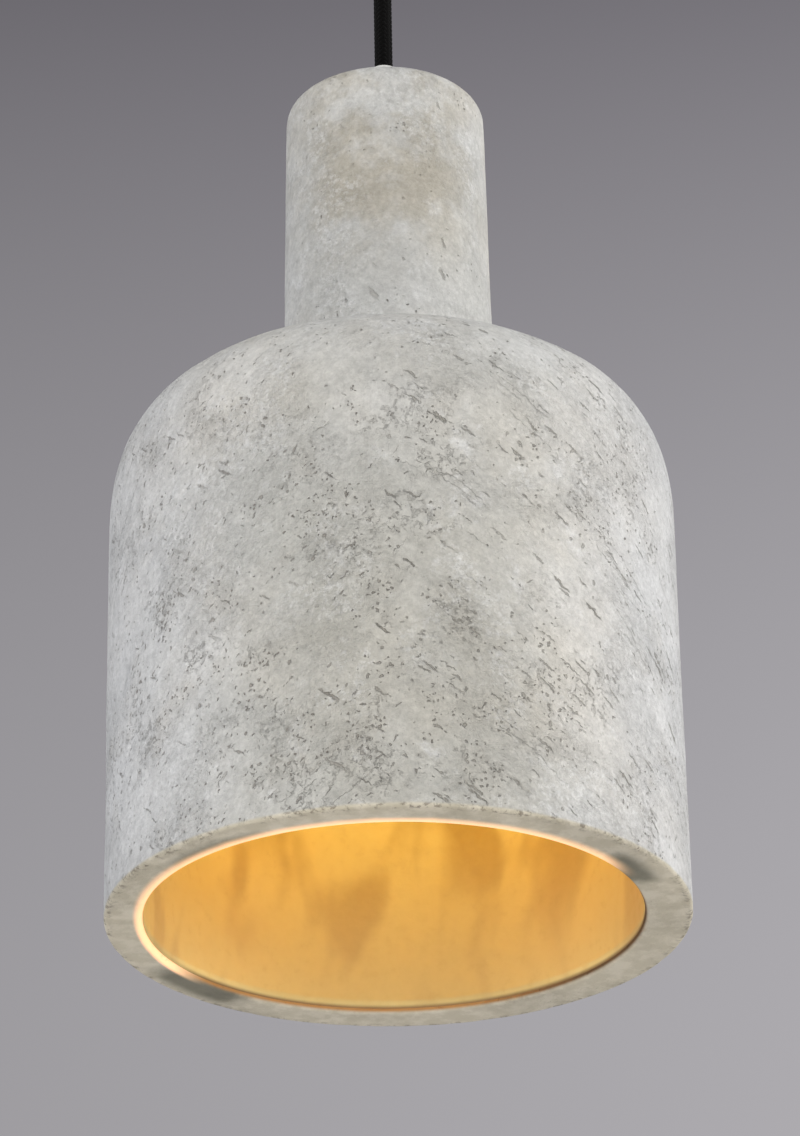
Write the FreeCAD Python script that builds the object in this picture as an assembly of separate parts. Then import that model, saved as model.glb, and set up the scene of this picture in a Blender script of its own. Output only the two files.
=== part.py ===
"""Pendant ceiling light: a cast concrete shade with a gold leaf lining, hung on a textile cord.

Millimetres, +Z up. The origin is on the ceiling, at the centre of the rose, and the lamp hangs below it.
"""
import FreeCAD, Part
import math
import os

os.makedirs("parts", exist_ok=True)

# ---- general ----
slip = 0.1            # radial clearance of pieces that slide together by hand
screw_slip = 0.05     # radial clearance of a screw in its hole
touch_gap = 0.05      # gap between faces that touch but belong to different moving bodies

# ---- where the lamp hangs ----
hang_drop = 150.0     # ceiling to the top of the shade
shade_radius = 90.0
bell_height = 181.0   # rim to the foot of the neck
neck_height = 111.0
shoulder_drop = 47.0  # the shoulder's curve, from the foot of the neck down to the straight wall
neck_foot_radius = 34.3
neck_top_radius = 33.0
neck_top_round = 6.0
wall_handle = 46.0    # pull of the shoulder curve up from the wall
foot_handle = 23.0    # pull of the shoulder curve out from the neck
foot_slope = 6.1      # degrees that the shoulder still falls where it meets the neck
rim_round = 1.2
lip_round = 1.8

# ---- the hollow in the shade ----
shade_wall = 13.2
core_offset = 1.4     # the core sat this far to -X in the mould
shoulder_wall = 14.0  # concrete above the hollow, at the foot of the neck
core_drop = 41.0      # the hollow's curve, from its top down to its straight wall
core_mouth_room = 3.5  # how far the hollow's flat top reaches past the neck's bore
core_wall_handle = 34.0
core_top_handle = 22.0
neck_plate = 14.0     # concrete left at the top of the neck
plate_hole_room = 0.5
leaf_thickness = 0.3

# ---- cord ----
cord_radius = 3.1
wire_radius = 1.1
wire_bend = 1.6       # on the conductor's axis
wire_spread = 1.4     # from the cord's axis to each conductor
tail_length = 1.0     # cord left above the rose's grip before its sleeve is stripped
inner_tail = 2.0      # cord left below the tube in the lampholder

# ---- hollow threaded tube, nuts and washers ----
tube_radius = 5.0
tube_bore_room = 0.8   # radial room for the cord in the tube
tube_above_plate = 9.0
tube_in_holder = 7.0
nut_wall = 2.0
top_nut_height = 3.0
low_nut_height = 4.0
top_washer_radius = 11.0
top_washer_height = 1.5
rubber_radius = 17.0
rubber_height = 1.5
support_radius = 17.5
support_height = 2.0

# ---- cord grip on the neck ----
lamp_grip_wall = 3.0
lamp_grip_tip_wall = 1.5
lamp_grip_straight = 6.0
lamp_grip_height = 12.0
lamp_grip_screw_radius = 1.25
lamp_grip_screw_length = 3.6
lamp_grip_screw_rise = 1.0    # from the tube's end up to the screw

# ---- ceiling rose ----
rose_radius = 50.0
rose_height = 28.0
rose_wall = 2.0
rose_round = 4.0
bracket_thickness = 1.5
bracket_width = 20.0
bracket_gap = 1.2     # between a bracket ear and the inside of the cup
ear_height = 15.0
ceiling_hole_spacing = 56.0
ceiling_hole_radius = 2.25
side_screw_radius = 2.0
side_screw_depth = 8.0
side_screw_head_radius = 3.5
side_screw_head_height = 2.2
side_screw_length = 8.0
screw_slot_width = 0.9
screw_slot_depth = 0.7
bracket_edge = 1.0    # steel left between the block's screw head and the block's edge

# ---- cord grip in the rose, and the swing of the lamp ----
swing_limit = 15.0    # degrees each way about X and about Y
grip_lip = 2.2        # nylon round the flared mouth
grip_stem_height = 7.0
grip_body_height = 18.0
grip_mouth_depth = 7.0
mouth_clearance = 1.2
grip_screw_radius = 1.5
grip_screw_drop = 4.5
grip_screw_sunk = 0.5  # the screw's end below the grip's side
grip_round = 1.0
rose_nut_height = 3.0
knuckle_gap = 0.1
knuckle_show = 1.4    # how far above and below the pivot the cord's cut ends stop
cord_upper_length = 4.0

# ---- terminal block ----
block_length = 26.0
block_width = 18.0
block_height = 12.0
pole_spacing = 12.0
brass_radius = 2.9
brass_bore_radius = 1.7
brass_length = 16.0
clamp_screw_radius = 1.25
clamp_head_radius = 2.1
clamp_head_height = 1.2
clamp_head_sunk = 0.2  # the screw heads below the block's face
block_screw_short = 0.2  # the fixing screw's end below the ceiling
clamp_screw_spacing = 9.0
wire_stand_off = 6.0   # the conductors pass this far outside the block
wire_rise = 3.0        # and turn outwards this far above the cord's tail
wire_in_brass = 4.0    # how far each conductor reaches into its tube
block_screw_radius = 1.5
block_head_radius = 2.8
block_head_height = 1.8

# ---- lampholder ----
holder_set_back = 15.0        # the lampholder's mouth above the mouth of the neck
holder_room = 2.0             # radial room round the holder in the neck
holder_wall = 2.0
skirt_wall = 4.5              # from the outside of the screw shell to the outside of the skirt
skirt_height = 36.0
spigot_height = 5.0
spigot_wall = 1.2
cap_straight = 5.0
cap_dome_height = 12.0
cap_boss_height = 7.0
cap_boss_wall = 3.0
cap_boss_shelf = 1.5          # flat round the boss before the dome falls away
cap_dome_shoulder = 0.62      # how far up the dome its side stays steep
cap_dome_flat = 0.45          # how far out the dome's top stays level
shell_room = 0.2              # between the screw shell and the skirt
skirt_ledge_height = 22.0
skirt_groove_depth = 0.5
skirt_groove_pitch = 2.0
skirt_groove_start = 6.0      # above the skirt's mouth
skirt_groove_land = 0.4       # flat left between grooves
skirt_groove_count = 8
lock_screw_radius = 1.5
insert_height = 10.5
shell_bore_radius = 13.4      # clear of the bulb's thread
shell_wall = 0.6
shell_length = 19.0
shell_thread_turns = 4
shell_end = 0.4               # straight metal below the shell's thread
shell_flange_edge = 0.4       # metal left between the flange's rivet and its inner edge
contact_width = 5.0
contact_thickness = 0.6
contact_drop = 2.0
contact_free = 4.5            # how far the leaf reaches past the bulb's axis
contact_land = 2.0            # half of the leaf's flat under its rivet
contact_bend = 2.5            # where the leaf has come down to the bulb's tip
contact_miter = 0.4           # makes the sloping part as thick as the rest
leaf_rivet_edge = 3.0         # from the flange's inner edge to the leaf's rivet
rivet_radius = 1.0
rivet_head_radius = 1.4
rivet_head_height = 0.5
rivet_tail = 1.5              # how far the rivets reach up into the terminals
terminal_side = 6.0
terminal_height = 6.0
wire_entry_depth = 4.0
terminal_screw_drop = 1.9     # the screw's axis below the terminal's top
terminal_screw_length = 3.2
terminal_head_radius = 1.8
terminal_head_height = 1.2
holder_wire_rise = 0.4        # the conductors' bend above the middle of their room
holder_wire_fall = 1.0        # how far they fall on their way out

# ---- bulb ----
thread_pitch = 3.63
thread_turns = 5
thread_clearance = 0.3
thread_depth = 0.8
cap_wall = 0.4
bulb_radius = 30.0
bulb_length = 108.0
glass_wall = 1.0
glass_neck_radius = 12.0
cap_length = 27.0
cap_cone = 1.2                # height over which the cap closes in on its insulator
cap_cone_lip = 1.0
glass_neck_length = 7.0       # straight glass neck, from its foot up to its mouth
glass_in_cap = 6.0            # how far the glass reaches up into the cap
pear_draw = 0.45              # how far up the sides draw in
insulator_height = 2.6
insulator_foot_radius = 9.0
tip_radius = 4.6
tip_height = 1.6
stem_length = 34.0
stem_radius = 3.0
stem_sunk = 1.0               # the stem's top below the glass neck's mouth
stem_flare = 6.0              # height over which the stem widens
stem_flare_edge = 1.2
lead_inset = 1.2              # from the stem's side to each lead wire
lead_straight = 4.0
lead_bend = 3.0
filament_over = 0.6           # filament past each lead
filament_sag = 2.0
insulator_step = 0.6          # cap metal turned over the insulator's foot
insulator_top_room = 0.8      # insulator round the tip contact
filament_span = 9.0
filament_drop = 17.0
filament_radius = 0.4
lead_radius = 0.3

# ---- widths worked out from the sizes above ----
bore_radius = shade_radius - shade_wall
skirt_bore_radius = shell_bore_radius + shell_wall + thread_depth + shell_room
holder_radius = skirt_bore_radius + skirt_wall
insert_radius = holder_radius - holder_wall - 2 * slip - spigot_wall
neck_bore_radius = holder_radius + holder_room
core_top_radius = neck_bore_radius + core_mouth_room
plate_hole_radius = tube_radius + plate_hole_room
tube_bore_radius = cord_radius + tube_bore_room
nut_flats = 2 * (tube_radius + nut_wall)
lamp_grip_radius = tube_radius + lamp_grip_wall
lamp_grip_tip_radius = cord_radius + lamp_grip_tip_wall
cap_boss_radius = tube_radius + cap_boss_wall
shell_rivet_x = shell_bore_radius - rivet_head_radius - slip
shell_flange_radius = shell_rivet_x - rivet_radius - shell_flange_edge
leaf_rivet_x = leaf_rivet_edge - shell_flange_radius
cord_bore_radius = cord_radius + slip
total_swing = math.acos(math.cos(math.radians(swing_limit)) ** 2)
swung_edge = grip_mouth_depth * math.tan(total_swing) + cord_radius / math.cos(total_swing)
mouth_radius = swung_edge + mouth_clearance
grip_radius = mouth_radius + grip_lip

# ---- heights worked out from the sizes above ----
neck_top = -hang_drop
shoulder_top = neck_top - neck_height
rim = shoulder_top - bell_height
wall_top = shoulder_top - shoulder_drop
core_top = shoulder_top - shoulder_wall
core_wall_top = core_top - core_drop
plate_under = neck_top - neck_plate
rubber_under = plate_under - rubber_height
support_under = rubber_under - support_height
low_nut_under = support_under - low_nut_height
top_washer_top = neck_top + top_washer_height
top_nut_top = top_washer_top + top_nut_height
tube_top = neck_top + tube_above_plate
lamp_grip_top = top_nut_top + lamp_grip_height
holder_mouth = core_top + holder_set_back
skirt_top = holder_mouth + skirt_height
spigot_top = skirt_top + spigot_height
dome_top = skirt_top + cap_straight + cap_dome_height
holder_top = dome_top + cap_boss_height
tube_bottom = holder_top - tube_in_holder
insert_under = holder_mouth + skirt_ledge_height
insert_top = insert_under + insert_height
contact_under = insert_under - contact_thickness - contact_drop
bulb_tip = contact_under - touch_gap
bulb_cap_top = bulb_tip - tip_height - insulator_height
bulb_cap_bottom = bulb_tip - cap_length
bulb_crown = bulb_tip - bulb_length
cup_floor = -rose_height + rose_wall
grip_bottom = -rose_height - grip_body_height
grip_top = -rose_height + grip_stem_height
pivot = grip_bottom + grip_mouth_depth
cord_upper_bottom = pivot - knuckle_show - cord_upper_length
brass_level = -bracket_thickness - block_height / 2
block_under = -bracket_thickness - block_height


def at(x, y, z):
    return FreeCAD.Vector(x, y, z)


def save(shape, name):
    """Write one node's solids."""
    shape.exportStep("parts/" + name + ".step")


def rod(radius, bottom, top, x=0.0, y=0.0):
    """Upright cylinder between two heights."""
    return Part.makeCylinder(radius, top - bottom, at(x, y, bottom))


def ring(outer, inner, bottom, top, x=0.0, y=0.0):
    """Upright tube between two heights."""
    return rod(outer, bottom, top, x, y).cut(rod(inner, bottom - 1, top + 1, x, y))


def lying_rod(radius, start, direction, length):
    """Cylinder from a point along any direction."""
    return Part.makeCylinder(radius, length, start, direction)


def line(a, b):
    """Edge between two (radius, height) points in the XZ plane."""
    return Part.LineSegment(at(a[0], 0, a[1]), at(b[0], 0, b[1])).toShape()


def curve(points):
    """Bezier edge through the XZ plane, from (radius, height) control points."""
    bezier = Part.BezierCurve()
    bezier.setPoles([at(r, 0, z) for r, z in points])
    return bezier.toShape()


def arc(a, middle, b):
    """Round edge through three (radius, height) points."""
    return Part.Arc(at(a[0], 0, a[1]), at(middle[0], 0, middle[1]), at(b[0], 0, b[1])).toShape()


def turned(edges):
    """Solid of revolution about Z from edges that close an outline."""
    outline = Part.Wire(edges)
    return Part.Face(outline).revolve(at(0, 0, 0), at(0, 0, 1), 360)


def turned_lines(points):
    """Solid of revolution from a straight-sided outline of (radius, height) points."""
    closed = points + points[:1]
    return turned([line(a, b) for a, b in zip(closed, closed[1:])])


def hexagon(flats, bottom, top):
    """Upright hexagonal prism, flats across its sides."""
    corner = flats / math.sqrt(3)
    angles = [math.radians(60 * i) for i in range(7)]
    corners = [at(corner * math.cos(a), corner * math.sin(a), bottom) for a in angles]
    return Part.Face(Part.makePolygon(corners)).extrude(at(0, 0, top - bottom))


def nut(flats, bottom, top):
    return hexagon(flats, bottom, top).cut(rod(tube_radius + screw_slip, bottom - 1, top + 1))


def block(x_size, y_size, bottom, top, x=0.0, y=0.0):
    """Upright box centred on x and y."""
    return Part.makeBox(x_size, y_size, top - bottom, at(x - x_size / 2, y - y_size / 2, bottom))


def round_edges(solid, radius, chosen):
    """Fillet the edges for which chosen(edge) is true."""
    return solid.makeFillet(radius, [edge for edge in solid.Edges if chosen(edge)])


def circle_at(height, radius):
    """Test for a full round edge of one radius at one height."""
    def test(edge):
        if not isinstance(edge.Curve, Part.Circle):
            return False
        same_height = abs(edge.Curve.Center.z - height) < 1e-4
        return same_height and abs(edge.Curve.Radius - radius) < 1e-4
    return test


def bent_wire(points, radius, bend):
    """Round wire along straight runs, with a tangent arc of the bend radius at each inner point."""
    edges = []
    start = points[0]
    for corner, after in zip(points[1:-1], points[2:]):
        incoming = (corner - start).normalize()
        outgoing = (after - corner).normalize()
        turn = incoming.getAngle(outgoing)
        reach = bend * math.tan(turn / 2)
        arc_start = corner - incoming * reach
        arc_end = corner + outgoing * reach
        inward = (outgoing - incoming).normalize()
        middle = corner + inward * (bend / math.cos(turn / 2) - bend)
        edges.append(Part.LineSegment(start, arc_start).toShape())
        edges.append(Part.Arc(arc_start, middle, arc_end).toShape())
        start = arc_end
    edges.append(Part.LineSegment(start, points[-1]).toShape())
    path = Part.Wire(edges)
    section = Part.Wire(Part.makeCircle(radius, points[0], points[1] - points[0]))
    solid = path.makePipeShell([section], True, False)
    expected = math.pi * radius ** 2 * path.Length
    print("wire volume %.1f, section times length %.1f, bend radius %.1f" % (solid.Volume, expected, bend))
    return solid


# ---- concrete shade and its lining ----

def shade_outside():
    """The shade with no hollow: straight wall, curved shoulder, tapered neck."""
    slope = math.radians(foot_slope)
    foot_pull_radius = neck_foot_radius + foot_handle * math.cos(slope)
    foot_pull = (foot_pull_radius, shoulder_top - foot_handle * math.sin(slope))
    wall_pull = (shade_radius, wall_top + wall_handle)
    edges = [
        line((0, rim), (shade_radius, rim)),
        line((shade_radius, rim), (shade_radius, wall_top)),
        curve([(shade_radius, wall_top), wall_pull, foot_pull, (neck_foot_radius, shoulder_top)]),
        line((neck_foot_radius, shoulder_top), (neck_top_radius, neck_top)),
        line((neck_top_radius, neck_top), (0, neck_top)),
        line((0, neck_top), (0, rim)),
    ]
    solid = turned(edges)
    solid = round_edges(solid, neck_top_round, circle_at(neck_top, neck_top_radius))
    return round_edges(solid, rim_round, circle_at(rim, shade_radius))


def core_edges(inset):
    """Outline of the bell's hollow from rim to top, moved inwards by inset."""
    radius = bore_radius - inset
    top_radius = core_top_radius - inset
    top = core_top - inset
    pulls = [(radius, core_wall_top + core_wall_handle), (top_radius + core_top_handle, top)]
    wall = line((radius, rim), (radius, core_wall_top))
    shoulder = curve([(radius, core_wall_top)] + pulls + [(top_radius, top)])
    return wall, shoulder, radius, top_radius, top


def bell_core(inset):
    """The bell's hollow as a solid, on the core's own axis."""
    wall, shoulder, radius, top_radius, top = core_edges(inset)
    top_edge = line((top_radius, top), (0, top))
    edges = [line((0, rim), (radius, rim)), wall, shoulder, top_edge, line((0, top), (0, rim))]
    solid = turned(edges)
    solid.translate(at(-core_offset, 0, 0))
    return solid


def concrete_shade():
    solid = shade_outside().cut(bell_core(0.0))
    solid = round_edges(solid, lip_round, circle_at(rim, bore_radius))
    solid = solid.cut(rod(neck_bore_radius, core_top - 1, plate_under))
    return solid.cut(rod(plate_hole_radius, plate_under - 1, neck_top + 1))


def gold_lining():
    """A thin skin on the bell's wall and shoulder, from the lip to the mouth of the neck."""
    skin = bell_core(0.0).cut(bell_core(leaf_thickness))
    skin = skin.cut(rod(shade_radius, rim - 1, rim + lip_round))
    return skin.cut(rod(core_top_radius + core_offset, core_top - 3 * leaf_thickness, core_top + 1))


# ---- tube, nuts and washers ----

def threaded_tube():
    return ring(tube_radius, tube_bore_radius, tube_bottom, tube_top)


def washer(radius, bottom, top):
    return ring(radius, tube_radius + slip, bottom, top)


# ---- cord grips ----

def lamp_cord_grip():
    """Nylon grip on the tube's top end: a straight foot under a cone that closes on the cord."""
    foot_top = top_nut_top + lamp_grip_straight
    outline = [
        (0, top_nut_top), (lamp_grip_radius, top_nut_top), (lamp_grip_radius, foot_top),
        (lamp_grip_tip_radius, lamp_grip_top), (0, lamp_grip_top),
    ]
    solid = turned_lines(outline)
    solid = solid.cut(rod(tube_radius + screw_slip, top_nut_top - 1, tube_top + touch_gap))
    solid = solid.cut(rod(cord_bore_radius, top_nut_top, lamp_grip_top + 1))
    return solid.cut(lamp_grip_screw(screw_slip))


def lamp_grip_screw(extra=0.0):
    """Grub screw that presses on the cord, just above the tube's end."""
    height = tube_top + lamp_grip_screw_radius + lamp_grip_screw_rise
    start = at(0, -cord_bore_radius - lamp_grip_screw_length, height)
    return lying_rod(lamp_grip_screw_radius + extra, start, at(0, 1, 0), lamp_grip_screw_length)


def rose_cord_grip():
    """Grip with a threaded stem through the cup, and a flared mouth that the cord swings in."""
    throat = cord_radius + slip + mouth_clearance / 3
    solid = rod(grip_radius, grip_bottom, -rose_height)
    solid = round_edges(solid, grip_round, circle_at(grip_bottom, grip_radius))
    solid = solid.fuse(rod(tube_radius, -rose_height, grip_top)).removeSplitter()
    steepness = (mouth_radius - throat) / grip_mouth_depth
    flare = turned_lines([
        (0, grip_bottom - 1), (mouth_radius + steepness, grip_bottom - 1), (throat, pivot),
        (throat, pivot + knuckle_show), (0, pivot + knuckle_show),
    ])
    solid = solid.cut(flare).cut(rod(cord_bore_radius, pivot, grip_top + 1))
    return solid.cut(rose_grip_screw(screw_slip))


def rose_grip_screw(extra=0.0):
    height = -rose_height - grip_screw_drop
    length = grip_radius - cord_bore_radius - grip_screw_sunk
    start = at(0, -cord_bore_radius - length, height)
    return lying_rod(grip_screw_radius + extra, start, at(0, 1, 0), length)


# ---- ceiling rose ----

def ear_outside():
    """Distance from the rose's axis to the outer face of a bracket ear, whose corners clear the cup."""
    inner = rose_radius - rose_wall - bracket_gap
    return math.sqrt(inner ** 2 - (bracket_width / 2) ** 2)


def ceiling_bracket():
    """Steel strap against the ceiling, with two ears bent down for the cup's side screws."""
    outside = ear_outside()
    solid = block(2 * outside, bracket_width, -bracket_thickness, 0)
    for side in (-1, 1):
        x = side * (outside - bracket_thickness / 2)
        solid = solid.fuse(block(bracket_thickness, bracket_width, -ear_height, 0, x))
    solid = solid.removeSplitter()
    for side in (-1, 1):
        x = side * ceiling_hole_spacing / 2
        solid = solid.cut(rod(ceiling_hole_radius, -bracket_thickness - 1, 1, x))
    solid = solid.cut(rod(block_screw_radius + screw_slip, -bracket_thickness - 1, 1, 0, block_screw_y()))
    return solid.cut(side_screws(screw_slip))


def block_screw_y():
    """The block's fixing screw sits beside the rose's axis, so that the bracket is solid there."""
    return block_width / 2 - block_head_radius - bracket_edge


def side_screws(extra=0.0):
    """Two screws through the cup's wall into the bracket's ears."""
    screws = []
    for side in (-1, 1):
        under_head = at(side * (rose_radius + touch_gap), 0, -side_screw_depth)
        shank = lying_rod(side_screw_radius + extra, under_head, at(-side, 0, 0), side_screw_length)
        head = lying_rod(side_screw_head_radius, under_head, at(side, 0, 0), side_screw_head_height)
        slot_start = side * (rose_radius + side_screw_head_height)
        slot = block(2 * screw_slot_depth, screw_slot_width, -side_screw_depth - side_screw_head_radius,
                     -side_screw_depth + side_screw_head_radius, slot_start)
        screws.append(shank.fuse(head).removeSplitter().cut(slot))
    return Part.makeCompound(screws)


def rose_cup():
    """Moulded cup that hides the bracket and the terminals."""
    solid = rod(rose_radius, -rose_height, 0)
    solid = round_edges(solid, rose_round, circle_at(-rose_height, rose_radius))
    hollow = rod(rose_radius - rose_wall, cup_floor, 1)
    inner_round = rose_round - rose_wall
    hollow = round_edges(hollow, inner_round, circle_at(cup_floor, rose_radius - rose_wall))
    solid = solid.cut(hollow)
    solid = solid.cut(rod(tube_radius + slip, -rose_height - 1, cup_floor + 1))
    for side in (-1, 1):
        start = at(side * (rose_radius + 1), 0, -side_screw_depth)
        solid = solid.cut(lying_rod(side_screw_radius + 2 * slip, start, at(-side, 0, 0), rose_wall + 3))
    return solid


def pole_positions():
    return [side * pole_spacing / 2 for side in (-1, 1)]


def clamp_positions():
    return [(x, side * clamp_screw_spacing / 2) for x in pole_positions() for side in (-1, 1)]


def terminal_block():
    """Insulating block under the bracket, with two brass tubes across it."""
    solid = block(block_length, block_width, block_under, -bracket_thickness)
    for x in pole_positions():
        start = at(x, -block_width, brass_level)
        solid = solid.cut(lying_rod(brass_radius + screw_slip, start, at(0, 1, 0), 2 * block_width))
    for x, y in clamp_positions():
        solid = solid.cut(rod(clamp_head_radius + slip, block_under - 1, brass_level, x, y))
    y = block_screw_y()
    solid = solid.cut(rod(block_screw_radius + slip, block_under - 1, 1, 0, y))
    head_room = block_under + block_head_height + slip
    return solid.cut(rod(block_head_radius + slip, block_under - 1, head_room, 0, y))


def terminal_tubes():
    tubes = []
    for x in pole_positions():
        start = at(x, -brass_length / 2, brass_level)
        body = lying_rod(brass_radius, start, at(0, 1, 0), brass_length)
        body = body.cut(lying_rod(brass_bore_radius, start - at(0, 1, 0), at(0, 1, 0), brass_length + 2))
        tubes.append(body)
    pack = Part.makeCompound(tubes)
    for x, y in clamp_positions():
        pack = pack.cut(rod(clamp_screw_radius + screw_slip, block_under, brass_level, x, y))
    return pack


def terminal_screws():
    """Four clamp screws, driven up from below onto the conductors."""
    screws = []
    for x, y in clamp_positions():
        head_under = block_under + clamp_head_sunk
        shank_top = brass_level - wire_radius - touch_gap
        shank = rod(clamp_screw_radius, head_under + clamp_head_height / 2, shank_top, x, y)
        head = rod(clamp_head_radius, head_under, head_under + clamp_head_height, x, y)
        screws.append(shank.fuse(head).removeSplitter())
    return Part.makeCompound(screws)


def terminal_fixing_screw():
    y = block_screw_y()
    head_top = block_under + block_head_height
    shank = rod(block_screw_radius, head_top, -block_screw_short, 0, y)
    return shank.fuse(rod(block_head_radius, block_under, head_top, 0, y)).removeSplitter()


# ---- cord ----

def knuckle_socket():
    return Part.makeSphere(cord_radius + knuckle_gap, at(0, 0, pivot))


def rose_cord_tail():
    """Cord from inside the rose down to the pivot, hollowed where the knuckle turns."""
    return rod(cord_radius, pivot + knuckle_show, tail_top()).cut(knuckle_socket())


def tail_top():
    return grip_top + tail_length


def cord_knuckle():
    """The point where the cord bends, as a ball of the cord's own size."""
    return Part.makeSphere(cord_radius, at(0, 0, pivot))


def cord_upper():
    return rod(cord_radius, cord_upper_bottom, pivot - knuckle_show).cut(knuckle_socket())


def cord_split():
    """Height inside the lamp's grip where the hanging cord ends and its inner end begins."""
    return tube_top + lamp_grip_screw_radius


def suspension_cord():
    """The hanging cord: one straight run, because the lamp's weight pulls it taut."""
    length = cord_upper_bottom - cord_split()
    solid = rod(cord_radius, cord_split(), cord_upper_bottom)
    print("cord run %.1f, straight; volume %.1f, section times length %.1f"
          % (length, solid.Volume, math.pi * cord_radius ** 2 * length))
    return solid


def cord_inner_end():
    return rod(cord_radius, tube_bottom - inner_tail, cord_split())


def rose_wire(side):
    """Conductor from the cord's tail, out beside the block and back into its brass tube."""
    x = side * pole_spacing / 2
    outside = -block_width / 2 - wire_stand_off
    low = tail_top() + wire_rise
    points = [
        at(side * wire_spread, 0, tail_top()),
        at(side * wire_spread, 0, low),
        at(x, outside, low),
        at(x, outside, brass_level),
        at(x, -brass_length / 2 + wire_in_brass, brass_level),
    ]
    return bent_wire(points, wire_radius, wire_bend)


# ---- lampholder ----

def dome(radius, foot, boss, top):
    """Control points of a dome's curve, upright at its foot and level at its top."""
    rise = top - foot
    return [
        (radius, foot), (radius, foot + cap_dome_shoulder * rise),
        (boss + cap_dome_flat * (radius - boss), top), (boss, top),
    ]


def holder_cap():
    """Domed upper shell that screws onto the tube."""
    inside = holder_radius - holder_wall
    straight_top = skirt_top + cap_straight
    boss_foot = cap_boss_radius + cap_boss_shelf
    under_dome = dome_top - holder_wall
    bore = tube_radius + screw_slip
    edges = [
        line((holder_radius, skirt_top), (holder_radius, straight_top)),
        curve(dome(holder_radius, straight_top, boss_foot, dome_top)),
        line((boss_foot, dome_top), (cap_boss_radius, dome_top)),
        line((cap_boss_radius, dome_top), (cap_boss_radius, holder_top)),
        line((cap_boss_radius, holder_top), (bore, holder_top)),
        line((bore, holder_top), (bore, under_dome)),
        line((bore, under_dome), (boss_foot, under_dome)),
        curve(dome(inside, straight_top, boss_foot, under_dome)[::-1]),
        line((inside, straight_top), (inside, skirt_top)),
        line((inside, skirt_top), (holder_radius, skirt_top)),
    ]
    return turned(edges).cut(holder_lock_screw(screw_slip))


def holder_lock_screw(extra=0.0):
    """Grub screw in the boss that stops the holder unscrewing from the tube."""
    height = dome_top + cap_boss_height / 2
    start = at(0, -tube_radius - touch_gap, height)
    return lying_rod(lock_screw_radius + extra, start, at(0, -1, 0), cap_boss_radius - tube_radius)


def holder_skirt():
    """Lower shell: fine thread outside, a ledge for the insert and a spigot into the cap."""
    spigot = holder_radius - holder_wall - slip
    seat = spigot - spigot_wall
    solid = turned_lines([
        (skirt_bore_radius, holder_mouth), (holder_radius, holder_mouth),
        (holder_radius, skirt_top - touch_gap), (spigot, skirt_top - touch_gap),
        (spigot, spigot_top), (seat, spigot_top), (seat, insert_under),
        (skirt_bore_radius, insert_under),
    ])
    for i in range(skirt_groove_count):
        height = holder_mouth + skirt_groove_start + i * skirt_groove_pitch
        half = (skirt_groove_pitch - skirt_groove_land) / 2
        groove = turned_lines([(holder_radius + 1, height - half), (holder_radius + 1, height + half),
                               (holder_radius - skirt_groove_depth, height)])
        solid = solid.cut(groove)
    return solid


def rivet_positions():
    return [leaf_rivet_x, shell_rivet_x]


def holder_insert():
    """Porcelain disc that carries the contacts under it and the terminals on top."""
    solid = rod(insert_radius, insert_under, insert_top)
    for x in rivet_positions():
        solid = solid.cut(rod(rivet_radius + screw_slip, insert_under - 1, insert_top + 1, x))
    return solid


def thread_outline(bore, bottom, count):
    """Rounded thread rings as arcs: bore at the valleys, and thread_depth more at the crests."""
    edges = []
    for i in range(count):
        low = bottom + i * thread_pitch
        crest = (bore + thread_depth, low + thread_pitch / 2)
        edges.append(arc((bore, low), crest, (bore, low + thread_pitch)))
    return edges


def holder_screw_shell():
    """Brass shell round the bulb's thread, with a flange riveted under the insert."""
    outer = shell_bore_radius + shell_wall
    bottom = insert_under - shell_length
    flange_under = insert_under - shell_wall
    thread_bottom = bottom + shell_end
    thread_top = thread_bottom + shell_thread_turns * thread_pitch
    edges = [line((shell_bore_radius, bottom), (shell_bore_radius, thread_bottom))]
    edges += thread_outline(shell_bore_radius, thread_bottom, shell_thread_turns)
    edges.append(line((shell_bore_radius, thread_top), (shell_bore_radius, flange_under)))
    edges.append(line((shell_bore_radius, flange_under), (shell_flange_radius, flange_under)))
    edges.append(line((shell_flange_radius, flange_under), (shell_flange_radius, insert_under)))
    edges.append(line((shell_flange_radius, insert_under), (outer, insert_under)))
    edges.append(line((outer, insert_under), (outer, thread_top)))
    edges += thread_outline(outer, thread_bottom, shell_thread_turns)[::-1]
    edges.append(line((outer, thread_bottom), (outer, bottom)))
    edges.append(line((outer, bottom), (shell_bore_radius, bottom)))
    return turned(edges).cut(contact_rivets(screw_slip))


def centre_contact():
    """Springy brass leaf: riveted at one end, its free end lowered onto the bulb's tip."""
    fixed = leaf_rivet_x - contact_land
    turn_down = leaf_rivet_x + contact_land
    top = insert_under
    low = contact_under + contact_thickness
    corners = [
        (fixed, top), (turn_down, top), (-contact_bend, low), (contact_free, low),
        (contact_free, contact_under),
        (-contact_bend - contact_miter, contact_under),
        (turn_down - contact_miter / 2, top - contact_thickness), (fixed, top - contact_thickness),
    ]
    points = [at(x, -contact_width / 2, z) for x, z in corners]
    leaf = Part.Face(Part.makePolygon(points + points[:1])).extrude(at(0, contact_width, 0))
    return leaf.cut(contact_rivets(screw_slip))


def contact_rivets(extra=0.0):
    """Two rivets that join the contacts under the insert to the terminals on top of it."""
    rivets = []
    for x in rivet_positions():
        under = insert_under - contact_thickness - touch_gap
        shank = rod(rivet_radius + extra, under, insert_top + rivet_tail, x)
        head = rod(rivet_head_radius, under - rivet_head_height, under, x)
        rivets.append(shank.fuse(head).removeSplitter())
    return Part.makeCompound(rivets)


def terminal_screw_height():
    return insert_top + terminal_height - terminal_screw_drop


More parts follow.
